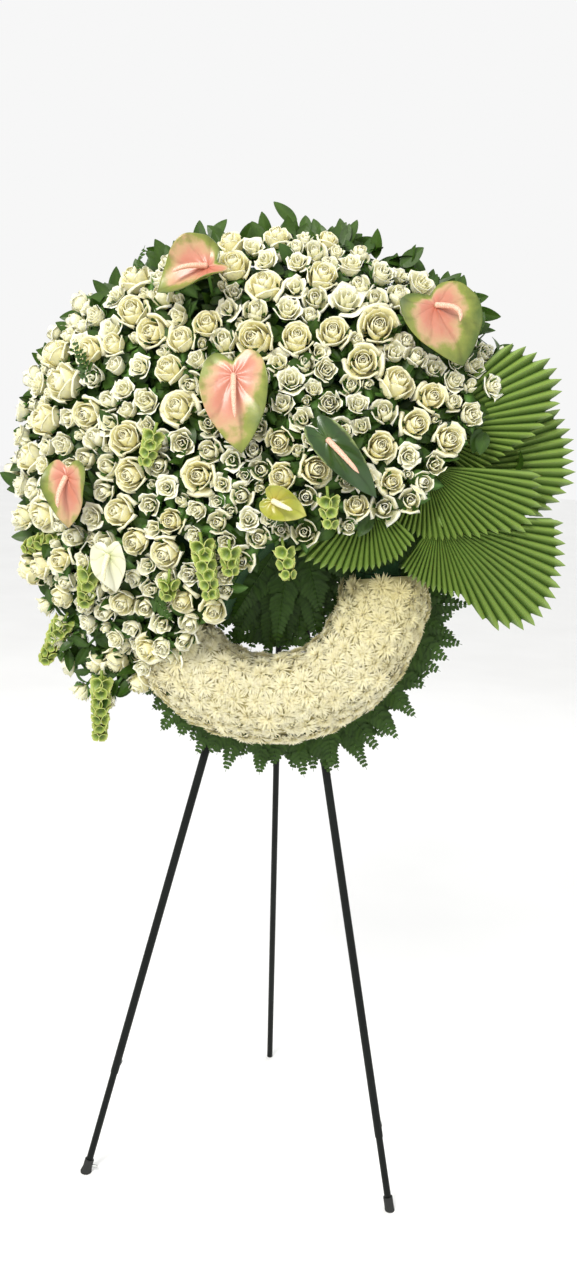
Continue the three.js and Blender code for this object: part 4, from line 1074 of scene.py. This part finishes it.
def add_anthuriums():
    pink = spathe_material("anthurium_pink_wax", [
        (0.0, (0.46, 0.13, 0.08)), (0.38, (0.52, 0.22, 0.145)), (0.56, (0.50, 0.32, 0.17)),
        (0.68, (0.22, 0.25, 0.04)), (1.0, (0.07, 0.11, 0.010))])
    white = spathe_material("anthurium_white_wax", [
        (0.0, (0.42, 0.46, 0.20)), (0.3, (0.62, 0.63, 0.42)), (1.0, (0.68, 0.68, 0.52))])
    lime = spathe_material("anthurium_lime_wax", [
        (0.0, (0.45, 0.20, 0.04)), (0.25, (0.38, 0.34, 0.04)), (0.8, (0.30, 0.32, 0.03)),
        (1.0, (0.42, 0.42, 0.09))])
    dark = spathe_material("anthurium_dark_wax", [
        (0.0, (0.07, 0.12, 0.02)), (0.5, (0.022, 0.062, 0.008)), (0.85, (0.018, 0.05, 0.006)),
        (1.0, (0.25, 0.32, 0.10))], 0.3)
    salmon = spadix_material("spadix_salmon", (0.72, 0.34, 0.24), (0.86, 0.62, 0.46))
    cream = spadix_material("spadix_cream", (0.72, 0.66, 0.38), (0.90, 0.86, 0.66))
    looks = {"anthurium_white": ("anthurium_white", white, cream),
             "anthurium_yellow_green": ("anthurium_lime", lime, cream),
             "anthurium_dark_green": ("anthurium_dark", dark, salmon)}
    for name, spec in ANTHURIUMS.items():
        add_anthurium(name, *looks.get(name, ("anthurium_pink", pink, salmon)), **spec)


# ---- fan palms

def add_palm(name, material, hub, n, turn, pleats, rim):
    """A fan of folded segments from its stalk's end to a notched rim, drooping to the right."""
    low, high = (math.radians(value) for value in turn)
    rim_turn, rim_reach = np.array(rim, dtype=float).T
    t = np.concatenate([np.linspace(0.04, 0.9, 9), [0.945, 0.975, 1.0]])[:, None]
    column = np.arange(4 * pleats + 1)[None, :]
    place = column % 4
    angle = low + (high - low) * column / (4 * pleats)
    rng = np.random.default_rng(len(name) * 31 + pleats)
    ragged = 1 - 0.03 * rng.random(pleats + 1)[column // 4]
    notched = 0.935 + np.choose(place, [-0.02, 0.03, 0.075, 0.03]) * (t - 0.92) / 0.08
    radius = np.interp(np.degrees(angle), rim_turn, rim_reach) * ragged
    radius = radius * np.where(t > 0.92, notched, t * 0.935 / 0.92)
    u, v = hub[0] + radius * np.cos(angle), hub[1] + radius * np.sin(angle)
    fold = np.choose(place, [-1.0, 0.0, 1.0, 0.0]) * (0.5 + 4.6 * t ** 0.9)
    droop = PALM_DROOP * np.maximum(0, u - PALM_DROOP_FROM) ** 2
    swing = (angle - low) / (high - low) * math.pi
    cup = 4.2 * np.sin(math.pi * t) * np.cos(swing * 2)
    sag = 5.6 * t ** 3 * np.sin(swing * 3 + pleats)
    grid = np.stack([u, v, n + fold - droop + cup - sag], axis=-1)
    # Painted light and shade: each fold darkest in its valley and lightest on one side, all darker towards
    # the hub.
    shade = np.choose(place, [0.0, 0.2, 0.75, 1.0]) * (0.35 + 0.65 * t)
    fan = (*leaf_solid(grid, 0.9, shade), rng.random())
    one_piece(name + "_fan", material, "palm_leaf", [name], fan, smooth=False)
    root = np.array([hub[0] - 60, hub[1] + 40, 96.0])
    end = np.array([*hub, n - 5])
    tip = end + ray((low + high) / 2, 0.1) * 16
    stalk = sweep([root, (root + end) / 2 + FRONT * 4, end, (end + tip) / 2, tip], [3.0, 3.0, 3.0, 2.4, 1.2])
    one_piece(name + "_stalk", material, "palm_leaf", [name], (*stalk, 0.5, 0.4))


# ---- bells of Ireland

# Rings of a cup as radius, height and shade, up the outside to the lip and back down the inside, where the
# low shades are painted shade in the hollow.
BELL_PROFILE = [(0.04, 0.0, 0.1), (0.34, 0.10, 0.25), (0.62, 0.46, 0.4), (1.0, 0.86, 0.85), (1.03, 0.95, 1.0),
                (0.93, 0.92, 0.75), (0.56, 0.56, 0.2), (0.28, 0.24, 0.05), (0.04, 0.18, 0.0)]
BELL_SIDES = 10


def bell_cup(rng):
    """One calyx of radius 1 opening along +Z: a thin flared cup with a soft five-pointed lip."""
    turns = np.arange(BELL_SIDES) * math.tau / BELL_SIDES
    lean = rng.gauss(0, 0.06)
    radius, height, shade = np.array(BELL_PROFILE).T[:, :, None]
    flat = radius * (1 + 0.05 * radius * np.cos(5 * turns) + 0.03 * np.cos(2 * turns + lean * 20))
    lift = height + 0.05 * radius * np.cos(5 * turns + 0.4) + lean * radius * np.cos(turns)
    grid = round_grid(flat, turns, lift)
    return grid.reshape(-1, 3), tube_faces(len(BELL_PROFILE), BELL_SIDES), np.repeat(shade, BELL_SIDES)


def add_bells():
    """Spikes of bells of Ireland: tiers of five cups round each stem."""
    material = bell_material()
    rng = random.Random(5)
    for name, (start, stop) in (BELLS | MORE_BELLS).items():
        start, stop = np.array(start, dtype=float), np.array(stop, dtype=float)
        length = np.linalg.norm(stop - start)
        way = (stop - start) / length
        tiers = max(2, round(length / 15))
        cups = Piece()
        cups.add(*sweep([start - way * 14, start, (start + stop) / 2, stop], [2.4, 2.4, 2.0, 1.2]), 0.3, 0.3)
        side = unit(np.cross(way, FRONT))
        other = np.cross(way, side)
        for tier in range(tiers):
            share = (tier + 0.4) / tiers
            centre = start + (stop - start) * share
            size = (12.5 if length > 60 else 11) * (1 - 0.4 * share)
            for k in range(5):
                turn = math.tau * (k + 0.5 * (tier % 2)) / 5 + rng.gauss(0, 0.12)
                away = side * math.cos(turn) + other * math.sin(turn)
                facing = away * 0.86 + way * rng.uniform(0.1, 0.45)
                cup, faces, shade = bell_cup(rng)
                cup = placed(cup, centre + away * 4, facing, rng.random() * 6, size)
                cups.add(cup, faces, shade, rng.random())
        cups.make(name + "_cups", material, "bells_of_ireland", [name] if name in BELLS else ())


# ---- ferns

FROND_ROWS = 24
COLLAR_ROOTS = 212
HOLE = {"middle": (20, 88), "fan": 13, "rows": 6, "half": 126}
SPRIGS = ((-290, 290, 1.9), (-190, -20, -0.6), (-262, 455, 1.0))


def add_frond(piece, root, tip, wide, normal, rng, lift=(0, 0, 6)):
    """A leatherleaf frond: a stalk with toothed leaflets on both sides, shorter towards its tip."""
    spine = curve(root, tip, lift, FROND_ROWS)
    piece.add(*sweep(spine, np.linspace(1.3, 0.4, FROND_ROWS), 5), 0.6, 0.3)
    pairs = max(7, round(math.dist(root, tip) / 8))
    for k in range(pairs):
        share = 0.06 + 0.92 * k / pairs
        row, past = divmod(share * (FROND_ROWS - 1), 1)
        row = int(row)
        after = spine[min(FROND_ROWS - 1, row + 1)]
        at = spine[row] + (after - spine[row]) * past
        way = unit(after - spine[max(0, row - 1)])
        reach = wide * min(1, 0.55 + share * 1.8) * (1.02 - share) ** 0.8 * rng.uniform(0.85, 1.1)
        for sign in (1, -1):
            side = unit(np.cross(normal, way) * sign)
            far = at + side * reach * 0.84 + way * reach * 0.6 + normal * rng.gauss(-2, 3)
            path = curve(at, far, -way * reach * 0.06, 6)
            piece.add(*strip_leaf(path, 5 + reach * 0.34, 0.7, normal, 0.12, 0.3), rng.random())


def add_fern_collar(rng):
    """The skirt of fronds round the ring, in layers."""
    collar = Piece()
    for tip in COLLAR_FERNS:
        for swing, shrink, level, wide in COLLAR_LAYERS:
            turn = swing + rng.gauss(0, 0.03)
            end = turned(tip, turn) * (shrink * rng.uniform(0.96, 1.0))
            start = turned(tip, turn * 0.3)
            start = start * (COLLAR_ROOTS / math.hypot(*start))
            add_frond(collar, (*start, level), (*end, level + rng.gauss(0, 9)), wide, FRONT, rng,
                      (0, 0, 6 + rng.gauss(0, 4)))
    collar.make("fern_collar_fronds", FERN_GREEN, "leatherleaf_fern", ["fern_collar"], smooth=False)


def add_hole_fern(rng):
    """Fronds that fill the ring's hole: some singly, a fan from the middle and rows below."""
    hole = Piece()
    for root, tip in HOLE_FERNS:
        add_frond(hole, (*root, 66), (*tip, 60), 44, FRONT, rng)
    for k in range(HOLE["fan"]):
        way = ray(math.radians(-178 + 172 * k / (HOLE["fan"] - 1)))
        reach = 128 - 5 * (k % 3)
        root = (HOLE["middle"][0] + 24 * way[0], HOLE["middle"][1] + 12 * (k % 2), 50 - 7 * (k % 3))
        add_frond(hole, root, (reach * way[0], reach * way[1], 34 - 5 * (k % 3)), 52, FRONT, rng, (0, 0, 8))
    for row in range(HOLE["rows"]):
        v = 54 - 29 * row
        half = math.sqrt(max(0, HOLE["half"] ** 2 - v * v))
        for sign in (1, -1):
            add_frond(hole, (-sign * half * 0.5, v + 14, 30 - 2 * row), (sign * half * 0.98, v - 12, 24),
                      44, FRONT, rng, (0, 14, 8))
    hole.make("fern_in_hole_fronds", FERN_GREEN, "leatherleaf_fern", ["fern_in_hole"], smooth=False)


def add_ferns():
    rng = random.Random(8)
    add_fern_collar(rng)
    add_hole_fern(rng)
    sprigs = Piece()
    for u, v, turn in SPRIGS:
        at, facing = seat(u, v)
        add_frond(sprigs, at - facing * 20, at + facing * 4 + ray(turn, 0.25) * 74, 26, facing, rng)
    for root, tip in PALM_FERNS:
        add_frond(sprigs, root, tip, 40, FRONT, rng)
    sprigs.make("fern_sprigs", FERN_GREEN, "leatherleaf_fern", smooth=False)


# ---- ruscus and rose foliage

RUSCUS_N = 31
RUSCUS_LEAVES = ((1.0, 1.0, 0.0), (0.72, 0.85, 0.75), (0.66, 0.85, -0.75), (0.4, 0.75, 0.8),
                 (0.34, 0.75, -0.8))
RIM_LEAVES = 150
ROSE_LEAVES = 1400
SIDE_LEAVES = 90
CASCADE_LEAVES = 9
CASCADE_ROOT = np.array([-180.0, 20.0, 60.0])


def rim_point(place, out):
    """A point of the foliage's rim in the direction of a place, moved outwards."""
    rim = shrunk(BED["under"])
    across, rise = reach_of(rim, *place)
    angle = math.atan2(rise, across)
    return np.array([rim["u"] + (rim["along"] + out) * math.cos(angle),
                     rim["v"] + (rim["up"] + out) * math.sin(angle)])


def add_ruscus():
    """Sprays of ruscus behind the rim: a forked stem with leaves on every branch."""
    rng = random.Random(13)
    for name, tips in SPRAYS.items():
        spray = Piece()
        middle = np.mean(tips, axis=0)
        root, fork = (np.array([*rim_point(middle, out), RUSCUS_N]) for out in (-24, 14))
        spray.add(*sweep([root, (root + fork) / 2, fork], 2.2, 6), 0.4, 0.3)
        for tip in tips:
            end = np.array([*tip, RUSCUS_N + rng.gauss(0, 6)])
            way = unit(end - fork)
            stem = curve(fork, end - way * 40, (0, 0, 5), 8)
            spray.add(*sweep(stem, np.linspace(1.8, 1.0, 8), 5), 0.5, 0.3)
            for share, size, lean in RUSCUS_LEAVES:
                at = fork + (end - way * 52 - fork) * share
                length = rng.uniform(38, 46) * size
                if share == 1.0:
                    length = np.linalg.norm(end - at)
                tilt = FRONT + scatter(rng, 0.35, 0.35, 0)
                reach = np.array([*turned(way, lean), 0]) * length + FRONT * rng.gauss(0, 5)
                add_leaf(spray, rng, at, reach, FRONT * rng.uniform(-4, 5), tilt, 24 * size, 0.8, 11, 0.22)
        spray.make(name + "_leaves", RUSCUS_GREEN, "ruscus_leaf", [name], smooth=False)


def add_rim_leaves():
    """Single ruscus leaves that stand out of the foliage all round the mound's upper rim."""
    rng = random.Random(29)
    leaves = Piece()
    for _ in range(RIM_LEAVES):
        turn = math.radians(rng.uniform(12, 212))
        place = (MOUND["u"] + 500 * math.cos(turn), MOUND["v"] + 480 * math.sin(turn))
        root = np.array([*rim_point(place, rng.uniform(-22, 6)), rng.uniform(24, 74)])
        away = ray(turn + rng.gauss(0, 0.55), rng.gauss(0.05, 0.18))
        size = rng.uniform(34, 48)
        start = root + away * rng.uniform(14, 34)
        tilt = square_to(FRONT + scatter(rng, 0.5, 0.5, 0), away)
        leaves.add(*sweep([root, start], [1.2, 1.0], 5), 0.4, 0.3)
        add_leaf(leaves, rng, start, away * size, FRONT * rng.uniform(-4, 4), tilt, size * 0.55, 0.8, 9)
    leaves.make("rim_leaves", RUSCUS_GREEN, "ruscus_leaf", smooth=False)


def add_foliage():
    """Rose leaves under and between the heads, one piece for each cluster."""
    rng = random.Random(17)
    pieces = {}
    made = 0
    while made < ROSE_LEAVES:
        u, v, _ = chance_place(rng)
        if not in_reach(u, v):
            continue
        made += 1
        at, facing = seat(u, v)
        piece = pieces.setdefault(cluster_of(at, facing), Piece())
        at = at - facing * rng.uniform(16, 42)
        way = scatter(rng, 1, 1, 0.5)
        way = unit(way - facing * np.dot(way, facing) * 0.8 + facing * 0.25)
        size = rng.uniform(30, 44)
        normal = unit(square_to(facing + scatter(rng, 0.5, 0.5, 0), way))
        add_leaf(piece, rng, at, way * size, normal * rng.uniform(-3, 4), normal, size * 0.55)
    for cluster, piece in pieces.items():
        name = cluster.replace("blooms", "foliage")
        piece.make(name, ROSE_LEAF, "ivory_petals", [cluster], smooth=False)


def add_cascade_leaves():
    """Leaves between the heads that hang over the lower left of the ring."""
    rng = random.Random(41)
    leaves = Piece()
    for u, v, _ in CASCADE:
        at = np.array([u, v, CASCADE_N])
        inward = unit(CASCADE_ROOT - at)
        for _ in range(CASCADE_LEAVES):
            start = at + inward * rng.uniform(14, 60) + scatter(rng, 9, 9, 12) - FRONT * 8
            away = ray(rng.random() * math.tau, rng.gauss(0.1, 0.3))
            length = rng.uniform(28, 44)
            normal = square_to(FRONT + scatter(rng, 0.4, 0.4, 0), unit(away))
            add_leaf(leaves, rng, start, away * length, normal * rng.uniform(-3, 4), normal, length * 0.52)
    leaves.make("cascade_leaves", ROSE_LEAF, "ivory_petals", smooth=False)


def add_side_leaves():
    """Leaves pinned flat on the foam's side, where it shows beside the palms and over the ring."""
    rng = random.Random(53)
    leaves = Piece()
    rim = shrunk(BED["under"] - 3)
    for _ in range(SIDE_LEAVES):
        turn = math.radians(rng.uniform(-10, 38))
        out = ray(turn)
        start = np.array([rim["u"] + rim["along"] * out[0], rim["v"] + rim["up"] * out[1],
                          rng.uniform(26, 92)])
        along = ray(turn + math.pi / 2) * rng.choice((-1, 1)) + FRONT * rng.gauss(0, 0.6)
        along = unit(along) + out * rng.uniform(0.05, 0.25)
        length = rng.uniform(34, 48)
        normal = square_to(out + scatter(rng, 0.2, 0.2, 0.2), unit(along))
        add_leaf(leaves, rng, start, along * length, out * rng.uniform(1, 5), normal, length * 0.55, 0.7)
    leaves.make("side_leaves", RUSCUS_GREEN, "ruscus_leaf", smooth=False)


# ---- the scene

def paint(obj, material):
    for place in obj.material_slots:
        place.material = material
    if not obj.material_slots:
        obj.data.materials.append(material)


add_camera()
add_studio()
add_blooms()
add_mums()
add_anthuriums()
PALM_GREEN = palm_material()
for palm, spec in PALMS.items():
    add_palm(palm, PALM_GREEN, **spec)
add_bells()
add_ferns()
add_ruscus()
add_rim_leaves()
add_foliage()
add_cascade_leaves()
add_side_leaves()

SLOT_MATERIALS = {
    "floral_foam": add_block_seams(plain_material(
        "floral_foam", (0.016, 0.060, 0.020), (0.030, 0.095, 0.032), 60, 0.95, grain=(700, 0.8, 0.0014))),
    "green_plastic": plain_material("tray_green", (0.018, 0.058, 0.022), (0.024, 0.072, 0.028), 8, 0.45),
    "black_enamel": plain_material(
        "black_enamel", (0.0020, 0.0030, 0.0026), (0.005, 0.007, 0.006), 22, 0.5, shine=0.18,
        grain=(130, 0.16, 0.0006)),
    "black_rubber": plain_material("black_rubber", (0.010, 0.011, 0.010), (0.020, 0.021, 0.019), 90, 0.75),
    "zinc_steel": plain_material("zinc_steel", (0.28, 0.29, 0.29), (0.42, 0.43, 0.42), 70, 0.38, 0.9),
    "green_wire": plain_material("green_wire", (0.014, 0.040, 0.016), (0.022, 0.058, 0.024), 50, 0.4, 0.2),
}
for entry in frame["record"]["subparts"]:
    if entry["material_slot"] in SLOT_MATERIALS:
        paint(frame["nodes"][entry["node"]], SLOT_MATERIALS[entry["material_slot"]])
